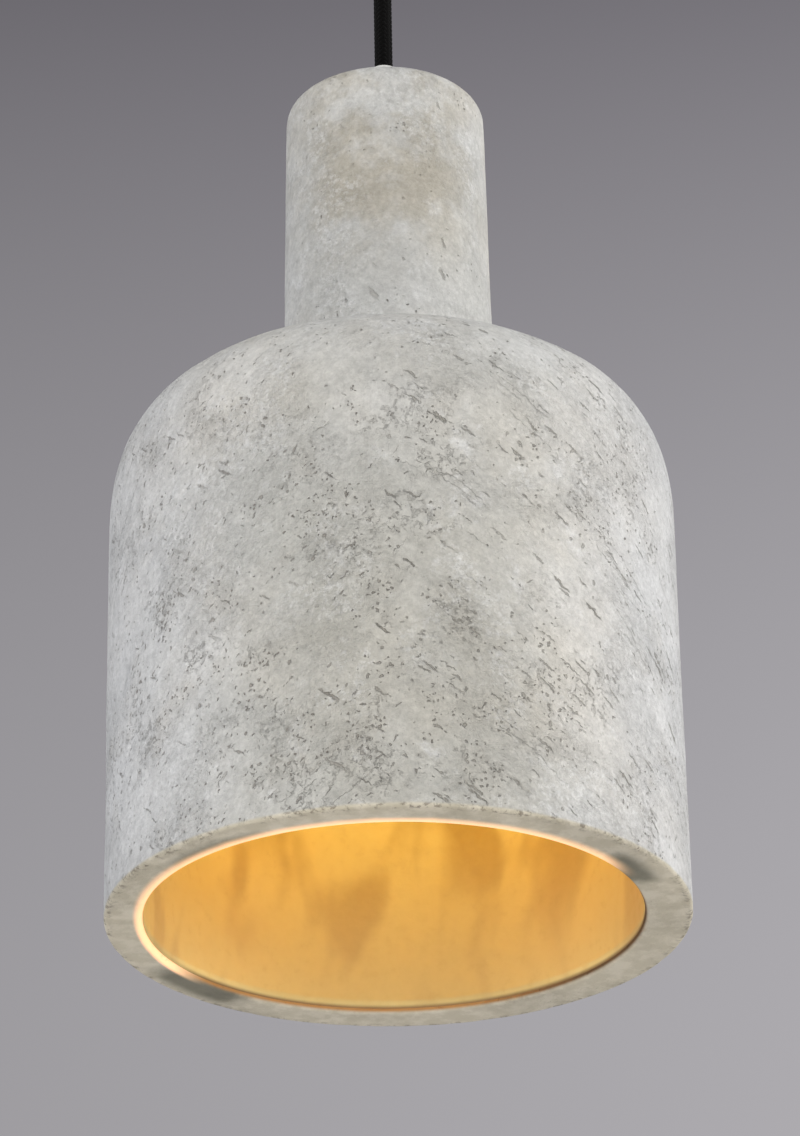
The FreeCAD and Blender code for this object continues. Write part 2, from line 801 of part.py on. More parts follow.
def holder_terminals():
    """Two brass blocks, each with a hole down into it for a conductor."""
    blocks = []
    for x in rivet_positions():
        body = block(terminal_side, terminal_side, insert_top, insert_top + terminal_height, x)
        rivet_hole_top = insert_top + rivet_tail + touch_gap
        body = body.cut(rod(rivet_radius + screw_slip, insert_top - 1, rivet_hole_top, x))
        entry = rod(wire_radius + slip, insert_top + terminal_height - wire_entry_depth, insert_top + 20, x)
        blocks.append(body.cut(entry))
    return Part.makeCompound(blocks).cut(holder_terminal_screws(screw_slip))


def holder_terminal_screws(extra=0.0):
    screws = []
    for x in rivet_positions():
        start = at(x, wire_radius + touch_gap, terminal_screw_height())
        shank = lying_rod(clamp_screw_radius + extra, start, at(0, 1, 0), terminal_screw_length)
        head_start = start + at(0, terminal_screw_length, 0)
        head = lying_rod(terminal_head_radius, head_start, at(0, 1, 0), terminal_head_height)
        screws.append(shank.fuse(head).removeSplitter())
    return Part.makeCompound(screws)


def holder_wire(side, x):
    """Conductor from the cord's inner end down into a terminal of the lampholder."""
    start = tube_bottom - inner_tail
    end = insert_top + terminal_height - wire_entry_depth + touch_gap
    level = (start + insert_top + terminal_height) / 2 + holder_wire_rise
    points = [
        at(side * wire_spread, 0, start),
        at(side * wire_spread, 0, level),
        at(x, 0, level - holder_wire_fall),
        at(x, 0, end),
    ]
    return bent_wire(points, wire_radius, wire_bend)


# ---- bulb ----

def thread_crest():
    return shell_bore_radius - thread_clearance


def bulb_screw_cap():
    """Thin metal cap with rounded thread rings, closing in at the top round the insulator."""
    crest = thread_crest()
    valley = crest - thread_depth
    skirt_end = bulb_cap_top - cap_cone - thread_turns * thread_pitch
    edges = [line((valley - cap_wall, bulb_cap_bottom), (valley, bulb_cap_bottom))]
    edges.append(line((valley, bulb_cap_bottom), (valley, skirt_end)))
    edges += thread_outline(valley, skirt_end, thread_turns)
    thread_top = skirt_end + thread_turns * thread_pitch
    closing = insulator_foot_radius
    edges.append(line((valley, thread_top), (closing, bulb_cap_top)))
    edges.append(line((closing, bulb_cap_top), (closing - cap_cone_lip, bulb_cap_top)))
    edges.append(line((closing - cap_cone_lip, bulb_cap_top), (valley - cap_wall, thread_top - cap_wall)))
    edges.append(line((valley - cap_wall, thread_top - cap_wall), (valley - cap_wall, bulb_cap_bottom)))
    return turned(edges)


def pear(radius, neck, crown, mouth):
    """Bulb outline turned into a solid: round crown, sides that draw in to a straight neck."""
    middle = crown + radius
    low = radius * math.sqrt(0.5)
    neck_foot = glass_mouth() - glass_neck_length
    draw = middle + pear_draw * (neck_foot - middle)
    edges = [
        arc((0, crown), (low, middle - low), (radius, middle)),
        curve([(radius, middle), (radius, draw), (neck, draw), (neck, neck_foot)]),
        line((neck, neck_foot), (neck, mouth)),
        line((neck, mouth), (0, mouth)),
        line((0, mouth), (0, crown)),
    ]
    return turned(edges)


def glass_mouth():
    return bulb_cap_bottom + glass_in_cap


def glass_neck():
    return min(glass_neck_radius, thread_crest() - thread_depth - cap_wall - slip)


def bulb_glass():
    outside = pear(bulb_radius, glass_neck(), bulb_crown, glass_mouth())
    crown_inside = bulb_crown + glass_wall
    inside = pear(bulb_radius - glass_wall, glass_neck() - glass_wall, crown_inside, glass_mouth() + 1)
    return outside.cut(inside)


def stem_top():
    return glass_mouth() - stem_sunk


def bulb_stem():
    """Glass foot that closes the bulb's neck and holds the lead wires."""
    flare = glass_neck() - glass_wall - slip
    bottom = stem_top() - stem_length
    return turned_lines([
        (0, bottom), (stem_radius, bottom), (stem_radius, stem_top() - stem_flare),
        (flare, stem_top() - stem_flare_edge), (flare, stem_top()), (0, stem_top()),
    ])


def filament_level():
    return stem_top() - stem_length - filament_drop


def lead_wires():
    wires = []
    for side in (-1, 1):
        start = at(side * (stem_radius - lead_inset), 0, stem_top() - stem_length)
        bend = start - at(0, 0, lead_straight)
        end = at(side * filament_span, 0, filament_level() + filament_radius + touch_gap)
        wires.append(bent_wire([start, bend, end], lead_radius, lead_bend))
    return Part.makeCompound(wires)


def bulb_filament():
    """Fine wire in a shallow arch between the leads."""
    half = filament_span + filament_over
    left = at(-half, 0, filament_level())
    right = at(half, 0, filament_level())
    lowest = at(0, 0, filament_level() - filament_sag)
    path = Part.Wire([Part.Arc(left, lowest, right).toShape()])
    tangent = path.Edges[0].tangentAt(path.Edges[0].FirstParameter)
    section = Part.Wire(Part.makeCircle(filament_radius, left, tangent))
    return path.makePipeShell([section], True, False)


def bulb_insulator():
    """Black glass cone between the cap and the tip contact."""
    bottom = bulb_cap_top + touch_gap
    top = bulb_cap_top + insulator_height
    foot = insulator_foot_radius - insulator_step
    return turned_lines([(0, bottom), (foot, bottom), (tip_radius + insulator_top_room, top), (0, top)])


def bulb_tip_contact():
    foot = bulb_cap_top + insulator_height
    shoulder = bulb_tip - tip_height / 2
    crest = tip_radius / 2
    between = (tip_radius * 0.8, bulb_tip - tip_height * 0.15)
    edges = [
        line((0, foot), (tip_radius, foot)),
        line((tip_radius, foot), (tip_radius, shoulder)),
        arc((tip_radius, shoulder), between, (crest, bulb_tip)),
        line((crest, bulb_tip), (0, bulb_tip)),
        line((0, bulb_tip), (0, foot)),
    ]
    return turned(edges)


nodes = {
    "ceiling_bracket": ceiling_bracket(),
    "rose_cup": rose_cup(),
    "rose_side_screws": side_screws(),
    "terminal_block": terminal_block(),
    "terminal_tubes": terminal_tubes(),
    "terminal_screws": terminal_screws(),
    "terminal_fixing_screw": terminal_fixing_screw(),
    "rose_cord_grip": rose_cord_grip(),
    "rose_grip_screw": rose_grip_screw(),
    "rose_locknut": nut(nut_flats, cup_floor, cup_floor + rose_nut_height),
    "rose_cord_tail": rose_cord_tail(),
    "rose_live_wire": rose_wire(-1),
    "rose_neutral_wire": rose_wire(1),
    "cord_knuckle": cord_knuckle(),
    "cord_upper": cord_upper(),
    "suspension_cord": suspension_cord(),
    "lamp_cord_grip": lamp_cord_grip(),
    "lamp_grip_screw": lamp_grip_screw(),
    "top_locknut": nut(nut_flats, top_washer_top, top_nut_top),
    "top_washer": washer(top_washer_radius, neck_top, top_washer_top),
    "concrete_shade": concrete_shade(),
    "gold_lining": gold_lining(),
    "rubber_washer": washer(rubber_radius, rubber_under, plate_under),
    "support_washer": washer(support_radius, support_under, rubber_under),
    "bottom_locknut": nut(nut_flats, low_nut_under, support_under),
    "threaded_tube": threaded_tube(),
    "cord_inner_end": cord_inner_end(),
    "holder_cap": holder_cap(),
    "holder_lock_screw": holder_lock_screw(),
    "holder_skirt": holder_skirt(),
    "holder_insert": holder_insert(),
    "holder_screw_shell": holder_screw_shell(),
    "centre_contact": centre_contact(),
    "contact_rivets": contact_rivets(),
    "holder_terminals": holder_terminals(),
    "holder_terminal_screws": holder_terminal_screws(),
    "holder_live_wire": holder_wire(-1, leaf_rivet_x),
    "holder_neutral_wire": holder_wire(1, shell_rivet_x),
    "bulb_tip_contact": bulb_tip_contact(),
    "bulb_insulator": bulb_insulator(),
    "bulb_screw_cap": bulb_screw_cap(),
    "bulb_glass": bulb_glass(),
    "bulb_stem": bulb_stem(),
    "bulb_lead_wires": lead_wires(),
    "bulb_filament": bulb_filament(),
}

for name, shape in nodes.items():
    save(shape, name)
    solids = len(shape.Solids)
    print("%-24s %d solid(s), valid %s, %.0f cubic mm" % (name, solids, shape.isValid(), shape.Volume))
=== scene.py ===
# %% [markdown]
# # A pendant light of cast concrete, with a gold leaf lining
# The frame is the engineering model: every fitting is already at its real size and place. This script
# adds what the eye sees: raw concrete, gold leaf, braided cord, metals and plastics, light and camera.
# All lengths are in metres. Small sizes are written as a number times MM.

# %% Load the frame
import math

import bpy
import numpy as np
from mathutils import Matrix, Vector


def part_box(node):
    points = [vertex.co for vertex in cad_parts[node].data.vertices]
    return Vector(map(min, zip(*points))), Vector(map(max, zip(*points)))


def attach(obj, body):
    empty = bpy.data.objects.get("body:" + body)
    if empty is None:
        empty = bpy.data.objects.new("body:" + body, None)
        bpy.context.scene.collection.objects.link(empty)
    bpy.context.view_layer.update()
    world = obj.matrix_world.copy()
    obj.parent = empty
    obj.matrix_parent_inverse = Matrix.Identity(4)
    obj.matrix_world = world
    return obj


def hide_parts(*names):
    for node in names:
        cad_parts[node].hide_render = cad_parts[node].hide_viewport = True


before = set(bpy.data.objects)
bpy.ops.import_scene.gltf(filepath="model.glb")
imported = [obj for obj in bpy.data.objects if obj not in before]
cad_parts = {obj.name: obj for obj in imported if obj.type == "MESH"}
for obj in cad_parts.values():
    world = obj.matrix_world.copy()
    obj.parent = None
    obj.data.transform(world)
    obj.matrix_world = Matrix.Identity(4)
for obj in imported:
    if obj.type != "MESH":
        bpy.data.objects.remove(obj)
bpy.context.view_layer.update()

MM = 0.001
FULL_TURN = 2 * math.pi
scene = bpy.context.scene

# %% [markdown]
# ## Places that the pieces share
# A casting is turned round one axis, so a few heights and radii fix everything. They are read off the
# frame's nodes, so the looks follow the model if it changes.

# %% Read the heights and radii
shade_low, shade_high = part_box("concrete_shade")
lining_low, lining_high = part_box("gold_lining")
bulb_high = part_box("bulb_glass")[1]
RIM = shade_low[2]
NECK_TOP = shade_high[2]
SHADE_RADIUS = shade_high[0]
BORE_RADIUS = (lining_high[0] - lining_low[0]) / 2
CORE_X = (lining_high[0] + lining_low[0]) / 2
CORE_TOP = lining_high[2]
print("rim %.3f, neck top %.3f, radius %.4f, bore %.4f" % (RIM, NECK_TOP, SHADE_RADIUS, BORE_RADIUS))

# %% [markdown]
# ## Camera
# The lamp is seen from in front and below, from about 1.3 metres away, through a long lens, which keeps
# its outline nearly free of perspective. The camera stands on the -Y side and leans by one degree.

# %% Place the camera
CAMERA_PITCH = math.radians(26.635)
CAMERA_ROLL = math.radians(-1.05)
CAMERA_FROM_RIM = Vector((0.0024, -1.2354, -0.4982))
LENS_IN_MM = 137.7
SENSOR_IN_MM = 36.0
camera_data = bpy.data.cameras.new("camera")
camera_data.lens = LENS_IN_MM
camera_data.sensor_width = SENSOR_IN_MM
camera = bpy.data.objects.new("camera", camera_data)
scene.collection.objects.link(camera)
look_up = Matrix.Rotation(math.pi / 2 + CAMERA_PITCH, 4, "X") @ Matrix.Rotation(CAMERA_ROLL, 4, "Z")
camera.matrix_world = Matrix.Translation(Vector((0, 0, RIM)) + CAMERA_FROM_RIM) @ look_up
scene.camera = camera
print("camera at", [round(x, 3) for x in camera.matrix_world.translation])

# %% [markdown]
# ## Small helpers for shader trees
# A node tree is easier to read as a formula. `calc` adds a Math node and returns its output, so one
# call reads like one line of arithmetic. The others do the same for the nodes and the short sums that
# come back in every finish. A mask is a value from 0 to 1 that says where something is.

# %% Add, link and calculate


def add_node(tree, kind, *values, **options):
    """Add a node, set its options, and feed its first sockets in order."""
    node = tree.nodes.new(kind)
    for name, option in options.items():
        setattr(node, name, option)
    for socket, value in zip(node.inputs, values):
        feed(tree, value, socket)
    return node


def feed(tree, value, socket):
    """Link an output to a socket, or set the socket to a plain value."""
    if isinstance(value, bpy.types.NodeSocket):
        tree.links.new(value, socket)
    else:
        socket.default_value = value


def calc(tree, operation, *values):
    return add_node(tree, "ShaderNodeMath", *values, operation=operation).outputs[0]


def product(tree, result, *factors):
    """All the values multiplied together."""
    for factor in factors:
        result = calc(tree, "MULTIPLY", result, factor)
    return result


def opposite(tree, mask):
    """1 where the mask is 0, and 0 where it is 1."""
    return calc(tree, "SUBTRACT", 1.0, mask)


def raised(tree, mask, least, gain):
    """least where the mask is 0, and gain more than that where it is 1."""
    return calc(tree, "ADD", least, calc(tree, "MULTIPLY", mask, gain))


def level_distance(tree, x, y):
    """How far x and y are from the axis."""
    return calc(tree, "SQRT", calc(tree, "ADD", product(tree, x, x), product(tree, y, y)))


print("arithmetic ready")

# %% Remap values, blend colours and handle vectors


def remap(tree, value, low, high, to_low=0.0, to_high=1.0, smooth=True):
    """Move a value from one range to another, and stop at the ends."""
    kind = "SMOOTHSTEP" if smooth else "LINEAR"
    entries = (value, low, high, to_low, to_high)
    return add_node(tree, "ShaderNodeMapRange", *entries, interpolation_type=kind).outputs[0]


def blend_colours(tree, factor, first, second):
    """The first colour where the factor is 0, the second where it is 1."""
    node = add_node(tree, "ShaderNodeMix", factor, data_type="RGBA")
    feed(tree, first, node.inputs[6])
    feed(tree, second, node.inputs[7])
    return node.outputs[2]


def scale_vector(tree, vector, amount):
    """Scale a vector or a colour."""
    node = add_node(tree, "ShaderNodeVectorMath", vector, operation="SCALE")
    feed(tree, amount, node.inputs["Scale"])
    return node.outputs[0]


def add_vectors(tree, first, second, scale):
    """first + second * scale."""
    scales = (scale, scale, scale)
    node = add_node(tree, "ShaderNodeVectorMath", second, scales, first, operation="MULTIPLY_ADD")
    return node.outputs[0]


def split_xyz(tree, vector):
    return add_node(tree, "ShaderNodeSeparateXYZ", vector).outputs


def join_xyz(tree, x, y, z):
    return add_node(tree, "ShaderNodeCombineXYZ", x, y, z).outputs[0]


print("ranges, colours and vectors ready")

# %% Make noise, and soft patches of it


def noise_node(tree, vector, **numbers):
    """A noise texture. Its clouds are about 1 / Scale metres across."""
    node = add_node(tree, "ShaderNodeTexNoise")
    feed(tree, vector, node.inputs["Vector"])
    for title, value in numbers.items():
        feed(tree, value, node.inputs[title])
    return node


def noise(tree, vector, scale, detail=4.0, roughness=0.55, distortion=0.0):
    """Cloudy noise about 0.5."""
    return noise_node(tree, vector, Scale=scale, Detail=detail, Roughness=roughness,
                      Distortion=distortion).outputs[0]


def patches(tree, vector, scale, low, high, detail=3.0, roughness=0.55):
    """Soft patches: 0 where the noise is under low, and 1 where it is over high."""
    return remap(tree, noise(tree, vector, scale, detail, roughness), low, high)


def noise_vector(tree, vector, scale):
    """Noise as a vector about zero."""
    cloud = noise_node(tree, vector, Scale=scale, Detail=3.0).outputs["Color"]
    middle = (0.5, 0.5, 0.5)
    return add_node(tree, "ShaderNodeVectorMath", cloud, middle, operation="SUBTRACT").outputs[0]


def object_point(tree):
    """The place on the surface, in the piece's own space."""
    return add_node(tree, "ShaderNodeTexCoord").outputs["Object"]


print("noise ready")

# %% Start groups and materials


def new_group(name, outputs, kind="NodeSocketFloat", **numbers):
    """An empty shader group that takes a Point and some numbers, with _ for a space in their names."""
    group = bpy.data.node_groups.new(name, "ShaderNodeTree")
    group.interface.new_socket("Point", in_out="INPUT", socket_type="NodeSocketVector")
    for title, value in numbers.items():
        title = title.replace("_", " ")
        socket = group.interface.new_socket(title, in_out="INPUT", socket_type="NodeSocketFloat")
        socket.default_value = value
    for title in outputs:
        group.interface.new_socket(title, in_out="OUTPUT", socket_type=kind)
    start = group.nodes.new("NodeGroupInput")
    end = group.nodes.new("NodeGroupOutput")
    return group, start.outputs, end.inputs


def use_group(tree, group, **values):
    """Place a group and feed its sockets by name, with _ for a space."""
    node = add_node(tree, "ShaderNodeGroup", node_tree=group)
    for title, value in values.items():
        feed(tree, value, node.inputs[title.replace("_", " ")])
    return node.outputs


def new_material(name, base, roughness, metallic=0.0, **more):
    """A material with a Principled shader. More sets other sockets by name."""
    material = bpy.data.materials.new(name)
    material.use_nodes = True
    tree = material.node_tree
    shader = tree.nodes["Principled BSDF"]
    feed(tree, (*base, 1.0), shader.inputs["Base Color"])
    feed(tree, roughness, shader.inputs["Roughness"])
    feed(tree, metallic, shader.inputs["Metallic"])
    for title, value in more.items():
        feed(tree, value, shader.inputs[title.replace("_", " ")])
    return material, tree, shader.inputs


def bump(tree, shader_inputs, height, strength, distance):
    """Let a height change the way the surface catches light."""
    node = add_node(tree, "ShaderNodeBump")
    feed(tree, strength, node.inputs["Strength"])
    feed(tree, distance, node.inputs["Distance"])
    feed(tree, height, node.inputs["Height"])
    tree.links.new(node.outputs[0], shader_inputs["Normal"])


print("helpers ready")

# %% [markdown]
# ## The cord
# Lighting cable has a woven textile sleeve: a dozen yarns wind one way and a dozen the other, each
# passing over two and under two. A bump map could fake it, but the sleeve is only 6 mm across and its
# outline shows, so the yarns are modelled. The lamp's weight holds the cord straight.

# %% Take the cord's route from the grip on the lamp up to the ceiling rose
CORD_DIAMETER = 6.2 * MM
cord_points = [(0, 0, -0.13975), (0, 0, -0.108), (0, 0, -0.076), (0, 0, -0.0445)]
ROUTE_ORDER = 3
ROUTE_STEPS = 24
route_curve = bpy.data.curves.new("cord_route", "CURVE")
route_curve.dimensions = "3D"
route_spline = route_curve.splines.new("NURBS")
route_spline.points.add(len(cord_points) - 1)
for spline_point, place in zip(route_spline.points, cord_points):
    spline_point.co = (*place, 1.0)
route_spline.order_u = ROUTE_ORDER
route_spline.use_endpoint_u = True
route_spline.resolution_u = ROUTE_STEPS
route_object = bpy.data.objects.new("cord_route", route_curve)
route_mesh = bpy.data.meshes.new_from_object(route_object)
bpy.data.objects.remove(route_object)

# %% Helpers that make a mesh


def add_mesh(name, vertices, faces):
    """A smooth-shaded object from vertices and faces."""
    mesh = bpy.data.meshes.new(name)
    mesh.from_pydata([tuple(v) for v in vertices], [], [tuple(f) for f in faces])
    mesh.validate()
    mesh.update()
    mesh.shade_smooth()
    piece = bpy.data.objects.new(name, mesh)
    scene.collection.objects.link(piece)
    return piece


def tube_faces(rings, sides, start):
    """Faces of a closed tube whose rings of vertices follow one another."""
    faces = []
    for i in range(rings - 1):
        for j in range(sides):
            a = start + i * sides + j
            b = start + i * sides + (j + 1) % sides
            faces.append((a, b, b + sides, a + sides))
    faces.append(tuple(start + j for j in range(sides))[::-1])
    faces.append(tuple(start + (rings - 1) * sides + j for j in range(sides)))
    return faces


print("mesh helpers ready")

# %% [markdown]
# Each yarn is a flattened tube that follows a helix and rises and dips a little as it crosses the yarns
# of the other way. A plain core tube closes the gaps between them.

# %% Give the sleeve its sizes
YARNS_EACH_WAY = 12
YARN_PITCH = 21.0 * MM
YARN_STEPS_PER_TURN = 48
YARN_RADIUS = 0.42 * MM
YARN_FLATNESS = 0.62
YARN_SPREAD = 1.7
YARN_SIDES = 6
WEAVE_LIFT = 0.16 * MM
SLEEVE_RADIUS = CORD_DIAMETER / 2 - YARN_RADIUS * YARN_FLATNESS - WEAVE_LIFT
CORE_RADIUS = SLEEVE_RADIUS - 0.1 * MM
CORE_STEPS = 40
CORE_SIDES = 24
print("yarns:", 2 * YARNS_EACH_WAY, "sleeve radius %.2f mm" % (SLEEVE_RADIUS / MM))

# %% Weave the cord


def yarn_ring(yarn, way, rise, z):
    """The vertices round one yarn, at a height that is rise above the sleeve's lower end."""
    around = FULL_TURN * yarn / YARNS_EACH_WAY + way * FULL_TURN * rise / YARN_PITCH
    crossing = math.pi * (yarn + way * YARNS_EACH_WAY * rise / YARN_PITCH)
    lift = way * WEAVE_LIFT * math.sin(crossing + math.pi / 4)
    out = Vector((math.cos(around), math.sin(around), 0))
    along = Vector((-out.y * way, out.x * way, YARN_PITCH / (FULL_TURN * SLEEVE_RADIUS))).normalized()
    across = along.cross(out)
    ring = []
    for j in range(YARN_SIDES):
        a = FULL_TURN * j / YARN_SIDES
        thick = out * (YARN_RADIUS * YARN_FLATNESS * math.sin(a))
        wide = across * (YARN_RADIUS * math.cos(a) * YARN_SPREAD)
        ring.append(out * (SLEEVE_RADIUS + lift) + (thick + wide) + Vector((0, 0, z)))
    return ring


def weave_cord(name, bottom, top):
    """Yarns wound both ways round a core, over two and under two."""
    vertices, faces = [], []
    length = top - bottom
    steps = int(length / YARN_PITCH * YARN_STEPS_PER_TURN)
    for way in (1, -1):
        for yarn in range(YARNS_EACH_WAY):
            start = len(vertices)
            for i in range(steps + 1):
                z = bottom + length * i / steps
                vertices += yarn_ring(yarn, way, z - bottom, z)
            faces += tube_faces(steps + 1, YARN_SIDES, start)
    start = len(vertices)
    for i in range(CORE_STEPS + 1):
        z = bottom + length * i / CORE_STEPS
        for j in range(CORE_SIDES):
            a = FULL_TURN * j / CORE_SIDES
            vertices.append(Vector((CORE_RADIUS * math.cos(a), CORE_RADIUS * math.sin(a), z)))
    faces += tube_faces(CORE_STEPS + 1, CORE_SIDES, start)
    return add_mesh(name, vertices, faces)


cord = weave_cord("hanging_cord", cord_points[0][2], cord_points[-1][2])
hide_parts("suspension_cord")
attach(cord, "lamp")
print("cord faces", len(cord.data.polygons))

# %% [markdown]
# ## The concrete shade
# The shade is poured upside down into a mould round a core, so both walls come out true, and only
# the skin carries marks: a slow waviness where the mould gave, scars where air was trapped against
# it, chips along the rim where it was struck off. The mesh is turned on the same outline as the
# model, with finer rings, and moved by those marks. Marks under a millimetre wide go in the shader.

# %% Helpers that draw an outline as points of radius and height
RING_STEP = 1.15 * MM


def bezier(points, count):
    """Points along a cubic curve, the first one left out."""
    t = np.linspace(0, 1, count + 1)[1:, None]
    a, b, c, d = (np.array(p) for p in points)
    return a * (1 - t) ** 3 + 3 * b * t * (1 - t) ** 2 + 3 * c * t ** 2 * (1 - t) + d * t ** 3


def straight(a, b, step=RING_STEP):
    """Points along a straight line, the first one left out."""
    count = max(1, int(round(math.dist(a, b) / step)))
    t = np.linspace(0, 1, count + 1)[1:, None]
    return np.array(a) * (1 - t) + np.array(b) * t


def quarter(centre, radius, from_angle, to_angle, count):
    """Points along an arc, the first one left out."""
    t = np.radians(np.linspace(from_angle, to_angle, count + 1)[1:])
    return np.stack([centre[0] + radius * np.cos(t), centre[1] + radius * np.sin(t)], 1)


print("outline helpers ready")

# %% [markdown]
# The outside runs from the cord's hole over the neck's rounded top, down its taper and through one long
# curve to the wall and the rim's edge. The inside runs over the flat rim and up the core: an upright
# wall, a domed top and the neck's bore under a solid plate.

# %% Turn the outline
WALL_TOP = RIM + 134 * MM
SHOULDER_TOP = NECK_TOP - 111 * MM
NECK_FOOT_RADIUS = 34.3 * MM
NECK_TOP_RADIUS = 33.0 * MM
NECK_TOP_ROUND = 6.0 * MM
FOOT_SLOPE = math.radians(6.1)
FOOT_HANDLE = 23.0 * MM
WALL_HANDLE = 46.0 * MM
RIM_ROUND = 1.2 * MM
LIP_ROUND = 1.8 * MM
NECK_BORE = 21.5 * MM
PLATE_UNDER = NECK_TOP - 14 * MM
PLATE_HOLE = 5.5 * MM
DOME_RADIUS = 25.0 * MM
DOME_HEIGHT = 41 * MM
DOME_LOW_HANDLE = 34 * MM
DOME_HIGH_HANDLE = 22 * MM
CORE_WALL_STEP = 12 * MM
DOME_RINGS = 14
BELL_RINGS = 76
NECK_ROUND_RINGS = 8
RIM_ROUND_RINGS = 5
LIP_ROUND_RINGS = 6

neck_foot = (NECK_FOOT_RADIUS, SHOULDER_TOP)
foot_pull = (NECK_FOOT_RADIUS + FOOT_HANDLE * math.cos(FOOT_SLOPE),
             SHOULDER_TOP - FOOT_HANDLE * math.sin(FOOT_SLOPE))
wall_pull = (SHADE_RADIUS, WALL_TOP + WALL_HANDLE)
wall_top = (SHADE_RADIUS, WALL_TOP)
neck_flat = (NECK_TOP_RADIUS - NECK_TOP_ROUND, NECK_TOP)
neck_centre = (NECK_TOP_RADIUS - NECK_TOP_ROUND, NECK_TOP - NECK_TOP_ROUND)
taper_top = (NECK_TOP_RADIUS, NECK_TOP - NECK_TOP_ROUND)
rim_centre = (SHADE_RADIUS - RIM_ROUND, RIM + RIM_ROUND)
lip_centre = (BORE_RADIUS + LIP_ROUND, RIM + LIP_ROUND)
core_top_ring = (DOME_RADIUS, CORE_TOP)
core_wall_top = (BORE_RADIUS, CORE_TOP - DOME_HEIGHT)
core_pull_low = (BORE_RADIUS, core_wall_top[1] + DOME_LOW_HANDLE)
core_pull_high = (core_top_ring[0] + DOME_HIGH_HANDLE, CORE_TOP)
core_curve = bezier([core_wall_top, core_pull_low, core_pull_high, core_top_ring], DOME_RINGS)

outside = [
    np.array([(PLATE_HOLE, PLATE_UNDER), (PLATE_HOLE, NECK_TOP)]),
    straight((PLATE_HOLE, NECK_TOP), neck_flat, 2 * RING_STEP),
    quarter(neck_centre, NECK_TOP_ROUND, 90, 0, NECK_ROUND_RINGS),
    straight(taper_top, neck_foot),
    bezier([neck_foot, foot_pull, wall_pull, wall_top], BELL_RINGS),
    straight(wall_top, (SHADE_RADIUS, RIM + RIM_ROUND)),
    quarter(rim_centre, RIM_ROUND, 0, -90, RIM_ROUND_RINGS),
]
inside = [
    straight((SHADE_RADIUS - RIM_ROUND, RIM), (lip_centre[0], RIM)),
    quarter(lip_centre, LIP_ROUND, -90, -180, LIP_ROUND_RINGS),
    straight((BORE_RADIUS, RIM + LIP_ROUND), core_wall_top, CORE_WALL_STEP),
    core_curve,
    np.array([(NECK_BORE, CORE_TOP), (NECK_BORE, PLATE_UNDER), (PLATE_HOLE, PLATE_UNDER)]),
]
outside_rings = np.concatenate(outside)
profile = np.concatenate([outside_rings, *inside])
ring_count = len(profile)
outside_count = len(outside_rings)
print("rings:", ring_count, "outside:", outside_count)

# %% Spread the outline round the axis, with the direction that is out of the skin at each point
SHADE_SEGMENTS = 480
angles = np.arange(SHADE_SEGMENTS) * FULL_TURN / SHADE_SEGMENTS
radius_grid = np.repeat(profile[:, 0], SHADE_SEGMENTS)
height_grid = np.repeat(profile[:, 1], SHADE_SEGMENTS)
angle_grid = np.tile(angles, ring_count)
skin_place = np.stack([radius_grid * np.cos(angle_grid), radius_grid * np.sin(angle_grid), height_grid], 1)
slope = np.gradient(profile, axis=0)
slope /= np.linalg.norm(slope, axis=1)[:, None]
out_r = np.repeat(-slope[:, 1], SHADE_SEGMENTS)
out_z = np.repeat(slope[:, 0], SHADE_SEGMENTS)
skin_out = np.stack([out_r * np.cos(angle_grid), out_r * np.sin(angle_grid), out_z], 1)
print("skin points:", len(skin_place))

# %% [markdown]
# ### Marks in the skin
# The waviness is smooth noise at the points themselves, so it has no seam. Scars are short dents that
# lean one way on the right and the other way on the left, as the mix was worked round. Chips sit on the
# rim's outer edge only. All are drawn with one seeded source of random numbers.

# %% Add the waviness
SEED = 7
WAVINESS = 0.28 * MM
NOISE_GRID = 24
NOISE_OFFSET = 11.3
SLOW_WAVE = 26 * MM
QUICK_WAVE = 9 * MM


def value_noise(rng, points, cell):
    """Smooth noise at 3-D points: random values on a grid, blended between its corners."""
    grid = rng.uniform(-1, 1, (NOISE_GRID, NOISE_GRID, NOISE_GRID))
    spot = points / cell + NOISE_OFFSET
    low = np.floor(spot).astype(int)
    f = spot - low
    f = f * f * (3 - 2 * f)
    total = np.zeros(len(points))
    for corner in range(8):
        dx, dy, dz = corner & 1, corner >> 1 & 1, corner >> 2 & 1
        weight = (f[:, 0] if dx else 1 - f[:, 0]) * (f[:, 1] if dy else 1 - f[:, 1])
        weight = weight * (f[:, 2] if dz else 1 - f[:, 2])
        i, j, k = ((low + (dx, dy, dz)) % NOISE_GRID).T
        total += weight * grid[i, j, k]
    return total


rng = np.random.default_rng(SEED)
relief = 0.7 * value_noise(rng, skin_place, SLOW_WAVE) + 0.3 * value_noise(rng, skin_place, QUICK_WAVE)
relief = WAVINESS * relief
print("waviness %.2f to %.2f mm" % (relief.min() / MM, relief.max() / MM))

# %% Press in the scars, and chip the rim
SCARS = 210
SCAR_TOP = SHOULDER_TOP + 20 * MM
SCAR_CROWDING = 1.3
SCAR_LEAN = (20, 70)
SCAR_LENGTH = (3, 8)
SCAR_WIDTH = (1.6, 2.6)
SCAR_DEPTH = (0.15, 0.5)
SCAR_EDGE = 1.6
CHIPS = 34
CHIP_LENGTH = (1.2, 4)
CHIP_DEPTH = (0.1, 0.38)
CHIP_REACH = 2.2 * MM


def distance_round(around, radius):
    """How far round the skin every point is from a direction."""
    return ((angle_grid - around + math.pi) % FULL_TURN - math.pi) * radius


